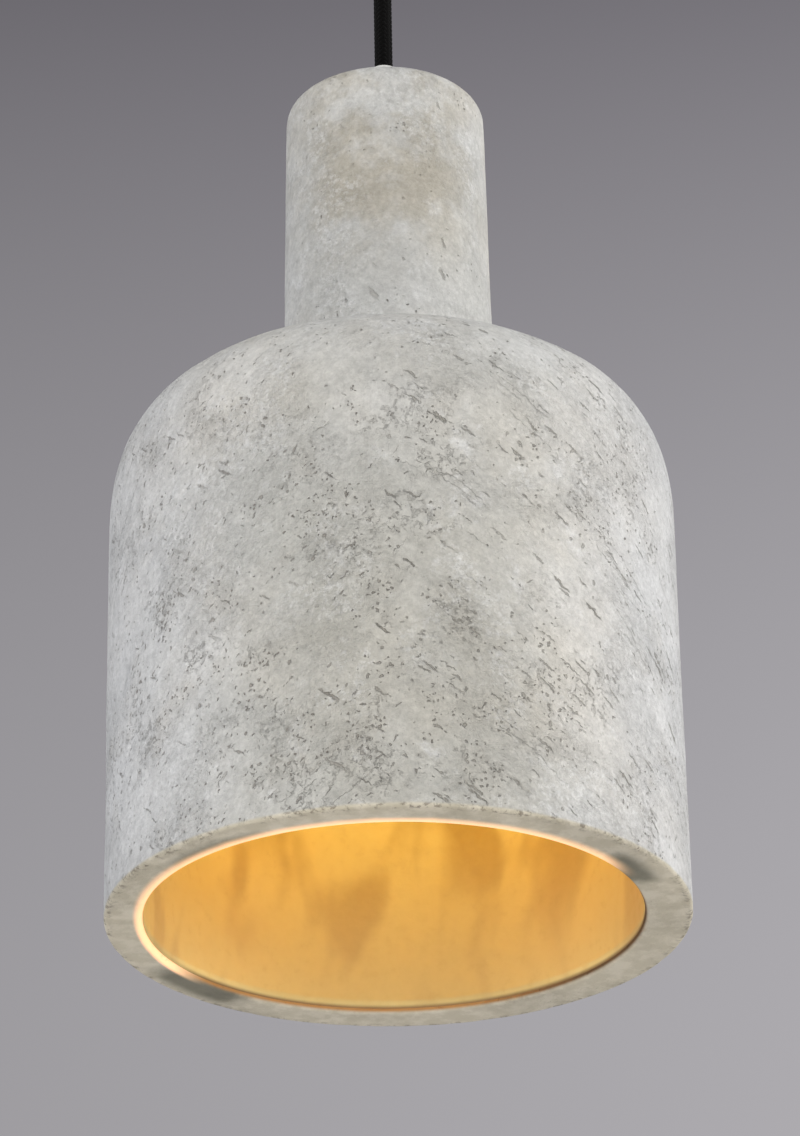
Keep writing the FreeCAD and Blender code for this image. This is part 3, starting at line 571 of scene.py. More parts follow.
for _ in range(SCARS):
    height = RIM + (SCAR_TOP - RIM) * rng.uniform(0, 1) ** SCAR_CROWDING
    around = rng.uniform(-math.pi, math.pi)
    nearest_ring = np.argmin(np.abs(outside_rings[:, 1] - height))
    lean = math.radians(rng.uniform(*SCAR_LEAN)) * (-1 if math.cos(around) > 0 else 1)
    length = rng.uniform(*SCAR_LENGTH) * MM
    width = rng.uniform(*SCAR_WIDTH) * MM
    depth = rng.uniform(*SCAR_DEPTH) * MM
    along = distance_round(around, outside_rings[nearest_ring, 0])
    up = height_grid - height
    a = (along * math.cos(lean) + up * math.sin(lean)) / length
    b = (-along * math.sin(lean) + up * math.cos(lean)) / width
    relief -= depth * np.exp(-(a * a + b * b) * SCAR_EDGE)
for _ in range(CHIPS):
    around = rng.uniform(-math.pi, math.pi)
    length = rng.uniform(*CHIP_LENGTH) * MM
    depth = rng.uniform(*CHIP_DEPTH) * MM
    along = distance_round(around, SHADE_RADIUS)
    off_edge = np.hypot(radius_grid - SHADE_RADIUS, height_grid - RIM) / CHIP_REACH
    relief -= depth * np.exp(-(along / length) ** 2 * 2 - off_edge ** 2)
print("relief %.2f to %.2f mm" % (relief.min() / MM, relief.max() / MM))

# %% [markdown]
# The marks move the outside in full, the rim's flat less and the inside not at all. They fade out under
# the washer at the top and towards the rim, which has to stay true. The core stood a little off the
# axis, so the flat's inner edge and the whole inside are shifted with it.

# %% Move the skin
RIM_FLAT_SHARE = 0.3
LEAST_NEAR_RIM = 0.35
ring_index = np.repeat(np.arange(ring_count), SHADE_SEGMENTS)
rim_flat_end = outside_count + len(inside[0])
on_outside = ring_index < outside_count
share = np.where(on_outside, 1.0, np.where(ring_index < rim_flat_end, RIM_FLAT_SHARE, 0.0))
off_the_plate = np.clip((radius_grid - 12 * MM) / (8 * MM), 0, 1)
off_the_rim = np.clip((height_grid - RIM) / (14 * MM), LEAST_NEAR_RIM, 1)
share = share * off_the_plate * np.where(on_outside, off_the_rim, 1.0)
x_shift = np.zeros(ring_count)
x_shift[outside_count:rim_flat_end] = CORE_X * np.linspace(0, 1, len(inside[0]) + 1)[1:]
x_shift[rim_flat_end:-3] = CORE_X
skin_place += skin_out * (relief * share)[:, None]
skin_place[:, 0] += np.repeat(x_shift, SHADE_SEGMENTS)
print("core is off the axis by %.2f mm" % (CORE_X / MM))

# %% Make the shade


def lathe_faces(rings, sides):
    """Quads between rings of vertices that follow one another."""
    i = np.arange(rings - 1)[:, None] * sides
    j = np.arange(sides)[None, :]
    k = (j + 1) % sides
    return np.stack([i + j, i + k, i + k + sides, i + j + sides], -1).reshape(-1, 4)[:, ::-1]


faces = lathe_faces(ring_count, SHADE_SEGMENTS)
last = (ring_count - 1) * SHADE_SEGMENTS
shade = add_mesh("cast_shade", skin_place[:last], np.where(faces >= last, faces - last, faces))
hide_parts("concrete_shade")
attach(shade, "lamp")
print("shade faces", len(shade.data.polygons))

# %% [markdown]
# ## Concrete as a shader
# Trapped air and stiff mix leave four kinds of mark: short gouges that lean along the way the mix
# was worked, clusters of pinholes, long fine creases, and ragged patches where the skin tore. Each is
# a mask with no seam. The leaning ones are made in space that is twisted round the axis. What several
# marks or materials use is a node group.

# %% A group that twists space


def make_twist_group():
    """Turns the space round Z in step with height, squeezes the height and roughens the result."""
    ragged_scale = 560.0
    group, given, out = new_group("twisted space", ["Point"], kind="NodeSocketVector",
                                  Turns=10.0, Squeeze=0.3, Ragged=2 * MM)
    ragged = scale_vector(group, noise_vector(group, given["Point"], ragged_scale), given["Ragged"])
    shifted = add_node(group, "ShaderNodeVectorMath", given["Point"], ragged, operation="ADD")
    x, y, z = split_xyz(group, shifted.outputs[0])
    angle = product(group, z, given["Turns"])
    cosine = calc(group, "COSINE", angle)
    sine = calc(group, "SINE", angle)
    turned_x = calc(group, "SUBTRACT", product(group, x, cosine), product(group, y, sine))
    turned_y = calc(group, "ADD", product(group, x, sine), product(group, y, cosine))
    feed(group, join_xyz(group, turned_x, turned_y, product(group, z, given["Squeeze"])), out[0])
    return group


twist_group = make_twist_group()


def leaning(tree, point, turns, squeeze, ragged):
    """Space where straight marks come out leaning on the object."""
    return use_group(tree, twist_group, Point=point, Turns=turns, Squeeze=squeeze, Ragged=ragged)["Point"]


print("group ready:", twist_group.name)

# %% A group that scatters pits


def make_pits_group():
    """Each cell holds one pit of a random size, and Crowd is the share of cells that show it."""
    least_size = 0.35
    floor_share = 0.45
    thinnest_edge = 0.001
    crowd_edge = 0.08
    group, given, out = new_group("scattered pits", ["Mask"], Scale=120.0, Size=0.2, Crowd=1.0)
    cells = add_node(group, "ShaderNodeTexVoronoi", feature="F1")
    feed(group, given["Point"], cells.inputs["Vector"])
    feed(group, given["Scale"], cells.inputs["Scale"])
    red, green, _ = split_xyz(group, cells.outputs["Color"])
    size = product(group, given["Size"], calc(group, "ADD", least_size, red))
    floor_size = product(group, size, floor_share)
    edge_size = calc(group, "ADD", size, thinnest_edge)
    pit = remap(group, cells.outputs["Distance"], floor_size, edge_size, 1.0, 0.0)
    there = remap(group, calc(group, "SUBTRACT", given["Crowd"], green), -crowd_edge, crowd_edge)
    feed(group, product(group, pit, there), out[0])
    return group


pits_group = make_pits_group()


def pits(tree, space, scale, size, crowd):
    return use_group(tree, pits_group, Point=space, Scale=scale, Size=size, Crowd=crowd)["Mask"]


print("group ready:", pits_group.name)

# %% A group that draws creases


def make_crease_group():
    """Long fine lines: where a stretched noise crosses its middle value, in places."""
    middle_value = 0.5
    places_scale = 75.0
    places_edge = 0.06
    group, given, out = new_group("fine creases", ["Mask"], Scale=30.0, Width=0.012, Rarity=0.56)
    lines = noise_node(group, given["Point"], Scale=given["Scale"], Detail=2.0).outputs[0]
    off = calc(group, "ABSOLUTE", calc(group, "SUBTRACT", lines, middle_value))
    line = remap(group, off, 0.0, given["Width"], 1.0, 0.0)
    upper = calc(group, "ADD", given["Rarity"], places_edge)
    where = patches(group, given["Point"], places_scale, given["Rarity"], upper)
    feed(group, product(group, line, where), out[0])
    return group


crease_group = make_crease_group()


def creases(tree, space, scale, width, rarity):
    return use_group(tree, crease_group, Point=space, Scale=scale, Width=width, Rarity=rarity)["Mask"]


print("group ready:", crease_group.name)

# %% [markdown]
# Light and shade on the opening's lip are painted: the side toward the bulb is painted lit and the other
# painted dark. Concrete and gold leaf meet there, so both ask one group which side they are on.

# %% A group for the lit side of the lip


def make_lip_side_group():
    """1 on the front left of the opening, 0 on the back right."""
    left_weight = -0.62
    front_weight = -1.0
    group, given, out = new_group("lit side of the lip", ["Mask"])
    x, y, _ = split_xyz(group, given["Point"])
    toward = calc(group, "ADD", product(group, x, left_weight), product(group, y, front_weight))
    feed(group, remap(group, toward, -12 * MM, 14 * MM), out[0])
    return group


lip_side_group = make_lip_side_group()
print("group ready:", lip_side_group.name)

# %% [markdown]
# ### Parts of the casting
# Cement is matt, so the roughness is high and the shine low. Masks made from the place alone say where
# on the casting a point is: left or right, low down, on the bell, on the rim's flat, or on the lip.

# %% Start the concrete and find its parts
concrete, tree, shader = new_material("cast_concrete", (0.55, 0.53, 0.49), 0.92, Specular_IOR_Level=0.25)
point = object_point(tree)
px, py, pz = split_xyz(tree, point)
off_middle = calc(tree, "ABSOLUTE", px)
axis_radius = level_distance(tree, px, py)
core_radius = level_distance(tree, calc(tree, "SUBTRACT", px, CORE_X), py)
right_side = remap(tree, px, -22 * MM, 26 * MM)
left_side = opposite(tree, right_side)
low_down = remap(tree, pz, SHOULDER_TOP + 10 * MM, RIM + 60 * MM)
on_bell = remap(tree, pz, SHOULDER_TOP + 14 * MM, SHOULDER_TOP - 8 * MM)
above_rim = remap(tree, pz, RIM + 0.5 * MM, RIM + 1.6 * MM)
rim_flat = opposite(tree, above_rim)
LIP_EDGE = BORE_RADIUS + LIP_ROUND
lip_low = remap(tree, pz, RIM + 4 * MM, RIM + 2.4 * MM)
lip = product(tree, remap(tree, core_radius, LIP_EDGE + 1.5 * MM, LIP_EDGE - 1.0 * MM), lip_low)
print("concrete nodes", len(tree.nodes))

# %% [markdown]
# ### Where the marks crowd
# Marks come in drifts, thicker low down and on the bell, where the mix was stiffest against the mould.
# On the right they lean one way, on the left the other, and they are fewer and smaller there.

# %% Say where the marks crowd
crowd = remap(tree, noise(tree, point, 26.0, 3.0, 0.6), 0.36, 0.64, to_low=0.22)
crowd_low = raised(tree, low_down, least=0.40, gain=0.6)
crowd = product(tree, crowd, crowd_low, raised(tree, on_bell, least=0.12, gain=0.88))
crowd_right = product(tree, crowd, raised(tree, right_side, least=0.22, gain=0.95))
crowd_left = product(tree, crowd, raised(tree, left_side, least=0.12, gain=0.88))
cluster = patches(tree, point, scale=60.0, low=0.48, high=0.62, roughness=0.6)
cluster = product(tree, cluster, raised(tree, crowd, least=0.10, gain=0.8))
print("concrete nodes", len(tree.nodes))

# %% Cut gouges, pinholes, creases and tears
lean_right = leaning(tree, point, turns=15.0, squeeze=0.34, ragged=2.4 * MM)
lean_left = leaning(tree, point, turns=-9.0, squeeze=0.50, ragged=3.0 * MM)
ruffled = add_vectors(tree, point, noise_vector(tree, point, 620.0), 2.2 * MM)

big_gouges = pits(tree, lean_right, scale=210.0, size=0.19, crowd=product(tree, crowd_right, 0.62))
gouges_right = pits(tree, lean_right, scale=360.0, size=0.24, crowd=crowd_right)
gouges_left = pits(tree, lean_left, scale=480.0, size=0.21, crowd=crowd_left)
gouges = calc(tree, "MAXIMUM", gouges_right, gouges_left)
pinholes = pits(tree, ruffled, scale=760.0, size=0.32, crowd=cluster)
dots = pits(tree, ruffled, scale=330.0, size=0.20, crowd=product(tree, crowd, 0.55))

creases_right = creases(tree, lean_right, scale=85.0, width=0.008, rarity=0.56)
creases_left = creases(tree, lean_left, scale=70.0, width=0.008, rarity=0.60)
crease_lines = calc(tree, "MAXIMUM", product(tree, creases_right, right_side, on_bell),
                    product(tree, creases_left, left_side, on_bell))

torn = patches(tree, point, scale=480.0, low=0.53, high=0.60, detail=6.0, roughness=0.75)
torn_place = patches(tree, point, scale=52.0, low=0.50, high=0.64)
tears = product(tree, torn, torn_place, calc(tree, "ADD", crowd, 0.25))

# the marks are joined in one mask, each as deep as it is dark
marks = big_gouges
for mask, depth in ((gouges, 0.78), (pinholes, 0.95), (dots, 0.75), (crease_lines, 0.45), (tears, 0.20)):
    marks = calc(tree, "MAXIMUM", marks, product(tree, mask, depth))
marks = product(tree, marks, raised(tree, above_rim, least=0.12, gain=0.88))
print("concrete nodes", len(tree.nodes))

# %% [markdown]
# ### Colour of the cement
# Cement dries unevenly, so wide clouds of two greys come first and paler ones over them. The sides are
# painted lighter and cooler as if lit from the side, and the low middle is painted darker as shade. A brown
# stain sits near the neck's top, lime has bloomed in places, brownish smudges lie round the clusters of
# pinholes, and the marks are darkened with dirt and painted shade.

# %% Lay the clouds, the stain, painted light and shade, and the dirt over one another
CEMENT = (0.54, 0.535, 0.505, 1)
WARM_CEMENT = (0.60, 0.57, 0.505, 1)
PALE_CEMENT = (0.67, 0.665, 0.64, 1)
SIDE_PAINTED_LIGHT = (0.62, 0.625, 0.63, 1)
LOW_PAINTED_SHADE = (0.425, 0.415, 0.365, 1)
STAIN = (0.42, 0.39, 0.325, 1)
BLOOM = (0.78, 0.78, 0.77, 1)
SMUDGE = (0.43, 0.395, 0.33, 1)
CHALK = (0.80, 0.80, 0.785, 1)
DIRT_AND_SHADE_RIGHT = (0.235, 0.222, 0.185, 1)
DIRT_AND_SHADE_LEFT = (0.205, 0.182, 0.15, 1)

clouds = patches(tree, point, scale=11.0, low=0.36, high=0.64, detail=4.0)
puffs = noise(tree, add_vectors(tree, point, (0.31, 0.17, 0.05), 1.0), 38.0, 5.0, 0.6)
# painted light: the sides are lighter and cooler, as if lit from the side
side = remap(tree, off_middle, 30 * MM, 86 * MM, to_high=0.6)
# painted shade: the low middle of the bell is darker
low_middle_painted_shade = product(tree, low_down, remap(tree, off_middle, 18 * MM, 66 * MM, 0.62, 0.0))

up_neck = remap(tree, pz, SHOULDER_TOP + 22 * MM, SHOULDER_TOP + 62 * MM)
stain = patches(tree, point, scale=44.0, low=0.37, high=0.60, detail=5.0, roughness=0.65)
neck_middle = opposite(tree, remap(tree, off_middle, 14 * MM, 36 * MM))
stain = product(tree, stain, neck_middle, up_neck, 0.95)

bloom = patches(tree, point, scale=75.0, low=0.56, high=0.70, detail=6.0, roughness=0.75)
smudge = product(tree, cluster, above_rim, remap(tree, puffs, 0.35, 0.60, 0.05, 0.24))
chalk = patches(tree, point, scale=520.0, low=0.48, high=0.58, detail=5.0, roughness=0.8)
chalk_place = patches(tree, point, scale=34.0, low=0.50, high=0.64)
# the marks are darkened with dirt and with painted shade where shade falls in the pits
dirt_and_shade = blend_colours(tree, left_side, DIRT_AND_SHADE_RIGHT, DIRT_AND_SHADE_LEFT)

cement = CEMENT
for amount, colour in (
        (clouds, WARM_CEMENT), (remap(tree, puffs, 0.40, 0.70, to_high=0.55), PALE_CEMENT),
        (side, SIDE_PAINTED_LIGHT), (low_middle_painted_shade, LOW_PAINTED_SHADE), (stain, STAIN),
        (product(tree, bloom, 0.45), BLOOM), (smudge, SMUDGE),
        (product(tree, chalk, chalk_place, 0.36), CHALK), (product(tree, marks, 0.70), dirt_and_shade)):
    cement = blend_colours(tree, amount, cement, colour)
print("concrete nodes", len(tree.nodes))

# %% [markdown]
# ### Grain
# Sand shows as fine grain and coarser speckle, and faint streaks lean like the gouges. They only make
# the colour a little lighter or darker.

# %% Grain the cement
grain = noise(tree, point, 620.0, 4.0, 0.75)
speckle = noise(tree, point, 230.0, 5.0, 0.72)
drag_right = leaning(tree, point, turns=13.0, squeeze=0.62, ragged=3.0 * MM)
drag_left = leaning(tree, point, turns=-8.0, squeeze=0.70, ragged=3.5 * MM)
streaks_right = product(tree, noise(tree, drag_right, 300.0, 5.0, 0.75), right_side)
streaks_left = product(tree, noise(tree, drag_left, 300.0, 5.0, 0.75), left_side)
streaks = calc(tree, "ADD", streaks_right, streaks_left)
grain_light = remap(tree, grain, 0.3, 0.7, 0.87, 1.13, smooth=False)
streak_light = remap(tree, streaks, 0.34, 0.54, 0.91, 1.02, smooth=False)
speckle_light = remap(tree, speckle, 0.3, 0.7, 0.90, 1.09, smooth=False)
cement = scale_vector(tree, cement, product(tree, grain_light, streak_light, speckle_light))
print("concrete nodes", len(tree.nodes))

# %% [markdown]
# ### The rim's flat
# The flat was the top of the pour, struck off and rubbed down, so it is smoother and yellower than the
# walls. It stays damp in three places along its inner edge, and its outer edge is worn dark.

# %% Colour the rim's flat
RUBBED_DARK = (0.56, 0.515, 0.40, 1)
RUBBED_PALE = (0.66, 0.61, 0.49, 1)
DAMP = (0.17, 0.165, 0.125, 1)
WORN = (0.20, 0.17, 0.13, 1)
# each damp patch: its direction and half its width in degrees, and how far it spreads out in mm
DAMP_PATCHES = ((227.0, 15.0, 4.0), (330.0, 10.0, 7.0), (142.0, 15.0, 7.0))

rubbed = patches(tree, point, scale=140.0, low=0.4, high=0.62, detail=5.0, roughness=0.65)
rim_colour = blend_colours(tree, rubbed, RUBBED_DARK, RUBBED_PALE)
for direction, half_width, spread in DAMP_PATCHES:
    damp_x = math.cos(math.radians(direction)) * (BORE_RADIUS + 4 * MM)
    damp_y = math.sin(math.radians(direction)) * (BORE_RADIUS + 4 * MM)
    far = level_distance(tree, calc(tree, "SUBTRACT", px, damp_x), calc(tree, "SUBTRACT", py, damp_y))
    ruffle = calc(tree, "SUBTRACT", noise(tree, point, 120.0, 3.0), 0.5)
    far = calc(tree, "ADD", far, product(tree, ruffle, 9 * MM))
    reach = math.radians(half_width) * SHADE_RADIUS
    damp = remap(tree, far, reach * 0.45, reach * 1.05, 0.88, 0.0)
    damp_outer = BORE_RADIUS + (spread + 5) * MM
    damp_inner = BORE_RADIUS + (spread - 1) * MM
    damp = product(tree, damp, remap(tree, core_radius, damp_outer, damp_inner))
    rim_colour = blend_colours(tree, damp, rim_colour, DAMP)
outer_edge = remap(tree, axis_radius, SHADE_RADIUS - 3.4 * MM, SHADE_RADIUS - 0.6 * MM)
wear = patches(tree, point, scale=420.0, low=0.50, high=0.62, detail=4.0, roughness=0.7)
rim_colour = blend_colours(tree, product(tree, outer_edge, wear, 0.7), rim_colour, WORN)
colour = blend_colours(tree, rim_flat, cement, rim_colour)
print("concrete nodes", len(tree.nodes))

# %% [markdown]
# ### The lip
# The rounded lip carries painted light and shade. On the side toward the bulb it gets a warm painted
# highlight and a weak painted glow of its own; on the other side it is painted brown as shade.

# %% Colour the lip
LIP_PAINTED_LIGHT = (0.95, 0.60, 0.33, 1)
LIP_PAINTED_GLOW_COLOUR = (1.0, 0.60, 0.32, 1)
LIP_PAINTED_GLOW = 0.80
LIP_PAINTED_SHADE = (0.52, 0.29, 0.11, 1)
LIP_DEEP_PAINTED_SHADE = (0.16, 0.10, 0.05, 1)
lit_side = use_group(tree, lip_side_group, Point=point)["Mask"]
lip_reach = remap(tree, py, 15 * MM, -55 * MM, LIP_EDGE + 0.9 * MM, LIP_EDGE + 4.2 * MM)
lip_spread = remap(tree, core_radius, lip_reach, BORE_RADIUS + LIP_ROUND * 0.5)
# painted highlight and painted glow on the lit side of the lip
lip_painted_light = product(tree, lip_spread, lip_low, lit_side)
lip_upper = remap(tree, pz, RIM + 0.15 * MM, RIM + 1.1 * MM)
# painted shade: the lip's other side is coloured brown, deeper towards the right
lip_painted_shade = product(tree, lip, lip_upper, opposite(tree, lit_side))
brown = blend_colours(tree, remap(tree, px, 20 * MM, 62 * MM), LIP_PAINTED_SHADE, LIP_DEEP_PAINTED_SHADE)
colour = blend_colours(tree, lip_painted_light, colour, LIP_PAINTED_LIGHT)
colour = blend_colours(tree, lip_painted_shade, colour, brown)
feed(tree, colour, shader["Base Color"])
feed(tree, LIP_PAINTED_GLOW_COLOUR, shader["Emission Color"])
feed(tree, product(tree, lip_painted_light, LIP_PAINTED_GLOW), shader["Emission Strength"])
print("concrete nodes", len(tree.nodes))

# %% [markdown]
# ### Fine relief
# The marks go in, and grain, clouds, pores and streaks stand out. All are too fine to be worth
# modelling, so one bump node turns their sum into light and shade.

# %% Raise the fine relief
CONCRETE_BUMP = 0.9 * MM
pores = noise(tree, point, 260.0, 6.0, 0.68)
streak_place = remap(tree, noise(tree, point, 33.0, 3.0), 0.40, 0.60, to_low=0.35)
fine_height = calc(tree, "SUBTRACT", product(tree, grain, 0.12), marks)
for texture, amount in ((puffs, 0.5), (pores, 0.40), (product(tree, streaks, streak_place), 1.7)):
    fine_height = calc(tree, "ADD", fine_height, product(tree, texture, amount))
bump(tree, shader, fine_height, 1.0, CONCRETE_BUMP)
shade.data.materials.append(concrete)
print("concrete nodes", len(tree.nodes))

# %% [markdown]
# ## Gold leaf
# Leaf is laid by hand in squares on a sized wall, so it follows every hollow and creases a little. The
# lining is a thin turned skin pushed in and out by soft upright folds. The leaf is matt, and the folds
# and its uneven tone make the slow blotches seen from below.

# %% Make the lining
LEAF_SEGMENTS = 240
LEAF_THICKNESS = 0.3 * MM
LEAF_EDGE = 1.5 * MM
LEAF_STEP = 3 * MM
LEAF_FRONT_GAP = 0.06 * MM
LEAF_BACK_GAP = 0.02 * MM
FOLD_DEPTH = 0.55 * MM
FOLD_STRETCH = 0.35
WIDE_FOLD = 17 * MM
NARROW_FOLD = 8 * MM
leaf_start = (BORE_RADIUS, RIM + LEAF_EDGE)
leaf_wall = straight((BORE_RADIUS, RIM + LEAF_EDGE + 0.1 * MM), core_wall_top, LEAF_STEP)
leaf_outline = np.concatenate([[leaf_start], leaf_wall, core_curve])
leaf_rings = len(leaf_outline)
leaf_angle = np.tile(np.arange(LEAF_SEGMENTS) * FULL_TURN / LEAF_SEGMENTS, leaf_rings)
leaf_radius = np.repeat(leaf_outline[:, 0], LEAF_SEGMENTS)
leaf_height = np.repeat(leaf_outline[:, 1], LEAF_SEGMENTS)
fold_place = [leaf_radius * np.cos(leaf_angle), leaf_radius * np.sin(leaf_angle), leaf_height * FOLD_STRETCH]
fold_place = np.stack(fold_place, 1)
folds = value_noise(rng, fold_place, WIDE_FOLD) * 0.65 + value_noise(rng, fold_place, NARROW_FOLD) * 0.35
fold_depth = np.clip((leaf_height - RIM) / (20 * MM), 0.15, 1) * FOLD_DEPTH
feather = np.clip((leaf_height - RIM - LEAF_EDGE) / (7 * MM), 0, 1)
front_inset = LEAF_FRONT_GAP + (LEAF_THICKNESS + fold_depth * (0.5 + 0.5 * folds)) * feather
back_inset = np.full(len(front_inset), LEAF_BACK_GAP)
leaf_points = []
for inset in (front_inset, back_inset):
    r = leaf_radius - inset
    leaf_points.append(np.stack([r * np.cos(leaf_angle) + CORE_X, r * np.sin(leaf_angle), leaf_height], 1))
front_faces = lathe_faces(leaf_rings, LEAF_SEGMENTS)
back = leaf_rings * LEAF_SEGMENTS
leaf_faces = [front_faces, front_faces[:, ::-1] + back]
j = np.arange(LEAF_SEGMENTS)
k = (j + 1) % LEAF_SEGMENTS
for ring in (0, leaf_rings - 1):
    first = ring * LEAF_SEGMENTS
    edge = np.stack([first + j, first + k, back + first + k, back + first + j], 1)
    leaf_faces.append(edge if ring == 0 else edge[:, ::-1])
lining = add_mesh("leaf_lining", np.concatenate(leaf_points), np.concatenate(leaf_faces))
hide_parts("gold_lining")
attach(lining, "lamp")
print("lining faces", len(lining.data.polygons))

# %% [markdown]
# Leaf over size is only partly a mirror, so it is under half metallic. Its tone is browner in upright
# blotches. Painted light makes it paler and a little dimmer towards the opening, painted shade darkens it
# along the front and the back of the wall, and its low edge on the dark side of the lip is painted dark
# brown as shade.

# %% Gild it
GOLD = (0.99, 0.77, 0.195, 1)
BROWN_GOLD = (0.68, 0.455, 0.080, 1)
PAINTED_PALE_GOLD = (1.0, 0.79, 0.43, 1)
SPECK_GOLD = (0.60, 0.40, 0.14, 1)
SHADED_EDGE_GOLD = (0.34, 0.20, 0.08, 1)
GOLD_BUMP = 1.2 * MM
gold, tree, shader = new_material("gold_leaf", (0.95, 0.70, 0.28), 0.6, 0.45)
point = object_point(tree)
px, py, pz = split_xyz(tree, point)
upright = join_xyz(tree, px, py, product(tree, pz, 0.4))
blotch = noise(tree, upright, 42.0, 2.0, 0.5, 0.35)
fine = noise(tree, point, 260.0, 5.0, 0.6)
leaf_colour = blend_colours(tree, remap(tree, blotch, 0.45, 0.61), GOLD, BROWN_GOLD)
# painted light: paler and a little dimmer towards the opening
painted_light_toward_opening = remap(tree, pz, RIM + 75 * MM, RIM + 5 * MM, to_high=0.55)
leaf_colour = blend_colours(tree, painted_light_toward_opening, leaf_colour, PAINTED_PALE_GOLD)
leaf_colour = scale_vector(tree, leaf_colour, remap(tree, pz, RIM + 72 * MM, RIM + 8 * MM, 0.97, 0.84))
# painted shade: darker along the front and the back of the wall
front_and_back_painted_shade = remap(tree, calc(tree, "ABSOLUTE", px), 8 * MM, 66 * MM, 0.80, 1.0)
leaf_colour = scale_vector(tree, leaf_colour, front_and_back_painted_shade)
leaf_colour = blend_colours(tree, remap(tree, fine, 0.58, 0.68, to_high=0.10), leaf_colour, SPECK_GOLD)
# painted shade: the leaf's low edge is darker on the dark side of the lip
edge_low = remap(tree, pz, RIM + 3.0 * MM, RIM + 1.4 * MM)
lit_side = use_group(tree, lip_side_group, Point=point)["Mask"]
edge_painted_shade = product(tree, edge_low, opposite(tree, lit_side))
leaf_colour = blend_colours(tree, edge_painted_shade, leaf_colour, SHADED_EDGE_GOLD)
feed(tree, leaf_colour, shader["Base Color"])
feed(tree, remap(tree, fine, 0.3, 0.7, 0.54, 0.68), shader["Roughness"])
bump(tree, shader, calc(tree, "ADD", blotch, product(tree, fine, 0.15)), 0.5, GOLD_BUMP)
lining.data.materials.append(gold)
print("gold nodes", len(tree.nodes))

# %% [markdown]
# ## Finishes of the fittings
# Fittings keep the model's shape. Their plain finishes differ only in colour, shine and grain: mould
# texture on plastic, a spangle on zinc, handling marks on brass. All take their grain from one group,
# with their own scales, so one function makes them.

# %% A group for fine grain


def make_grain_group():
    """A fine speck and a slow cloud for a plain finish."""
    group, given, out = new_group("fine grain", ["Speck", "Cloud"], Speck_Scale=300.0, Cloud_Scale=33.0)
    feed(group, noise(group, given["Point"], given["Speck Scale"], 4.0, 0.6), out["Speck"])
    feed(group, noise(group, given["Point"], given["Cloud Scale"], 3.0, 0.5), out["Cloud"])
    return group


grain_group = make_grain_group()
print("group ready:", grain_group.name)

# %% Make the plain finishes
SPECKS_PER_CLOUD = 9
ROUGHNESS_SWING = 0.08
SMOOTHEST = 0.03
# each finish: colour, roughness, metallic, grain scale, how much it varies, and its relief in mm
PLAIN_FINISHES = {
    "zinc_steel": ((0.66, 0.66, 0.64), 0.38, 1.0, 700.0, 0.06, 0.02),
    "rose_black": ((0.022, 0.022, 0.024), 0.55, 0.0, 1600.0, 0.10, 0.05),
    "white_plastic": ((0.78, 0.77, 0.72), 0.42, 0.0, 900.0, 0.03, 0.02),
    "bright_brass": ((0.80, 0.58, 0.25), 0.26, 1.0, 500.0, 0.07, 0.02),
    "black_nylon": ((0.028, 0.028, 0.030), 0.45, 0.0, 1100.0, 0.08, 0.03),
    "brown_insulation": ((0.16, 0.06, 0.025), 0.40, 0.0, 600.0, 0.06, 0.01),
    "blue_insulation": ((0.03, 0.12, 0.42), 0.40, 0.0, 600.0, 0.06, 0.01),
    "pale_nylon": ((0.80, 0.79, 0.74), 0.40, 0.0, 900.0, 0.03, 0.02),
    "black_rubber": ((0.02, 0.02, 0.02), 0.80, 0.0, 1400.0, 0.12, 0.05),
    "black_bakelite": ((0.020, 0.018, 0.016), 0.24, 0.0, 240.0, 0.12, 0.01),
    "white_porcelain": ((0.84, 0.83, 0.79), 0.12, 0.0, 200.0, 0.02, 0.02),
    "lamp_solder": ((0.55, 0.55, 0.54), 0.45, 1.0, 900.0, 0.08, 0.04),
    "black_glass": ((0.02, 0.02, 0.025), 0.10, 0.0, 300.0, 0.05, 0.01),
    "nickel_cap": ((0.72, 0.70, 0.65), 0.28, 1.0, 600.0, 0.05, 0.02),
    "clear_glass": ((0.90, 0.93, 0.93), 0.10, 0.0, 300.0, 0.02, 0.01),
    "lead_wire": ((0.66, 0.65, 0.63), 0.30, 1.0, 1200.0, 0.05, 0.01),
    "tungsten": ((0.35, 0.35, 0.36), 0.40, 1.0, 1500.0, 0.06, 0.01),
}


def plain_finish(name, base, rough, metal, grain, vary, depth):
    """A plain finish with fine grain in its colour, shine and surface."""
    material, tree, shader = new_material(name, base, rough, metal)
    texture = use_group(tree, grain_group, Point=object_point(tree), Speck_Scale=grain,
                        Cloud_Scale=grain / SPECKS_PER_CLOUD)
    dark = tuple(c * (1 - 2 * vary) for c in base) + (1.0,)
    light = tuple(min(1.0, c * (1 + vary)) for c in base) + (1.0,)
    tone = blend_colours(tree, remap(tree, texture["Cloud"], 0.35, 0.65), dark, light)
    glossy = max(SMOOTHEST, rough - ROUGHNESS_SWING)
    shine = remap(tree, texture["Speck"], 0.3, 0.7, glossy, rough + ROUGHNESS_SWING)
    feed(tree, tone, shader["Base Color"])
    feed(tree, shine, shader["Roughness"])
    bump(tree, shader, texture["Speck"], 0.5, depth * MM)
    return material


finishes = {name: plain_finish(name, *look) for name, look in PLAIN_FINISHES.items()}
print("plain finishes:", len(finishes))

# %% [markdown]
# Black yarn drinks light, so its colour is close to none, with only the thinnest sheen. The bulb's
# glass is frosted and looks lit all over, brightest low down and dimmer towards the cap.

# %% Make the yarn and the bulb's glass
YARN_BLACK = (0.001, 0.001, 0.001, 1)
YARN_GREY = (0.006, 0.0055, 0.005, 1)
BULB_LIGHT = (1.0, 0.80, 0.56, 1)
BULB_GLOW = 3.2
BULB_GLOW_AT_CAP = 1.2


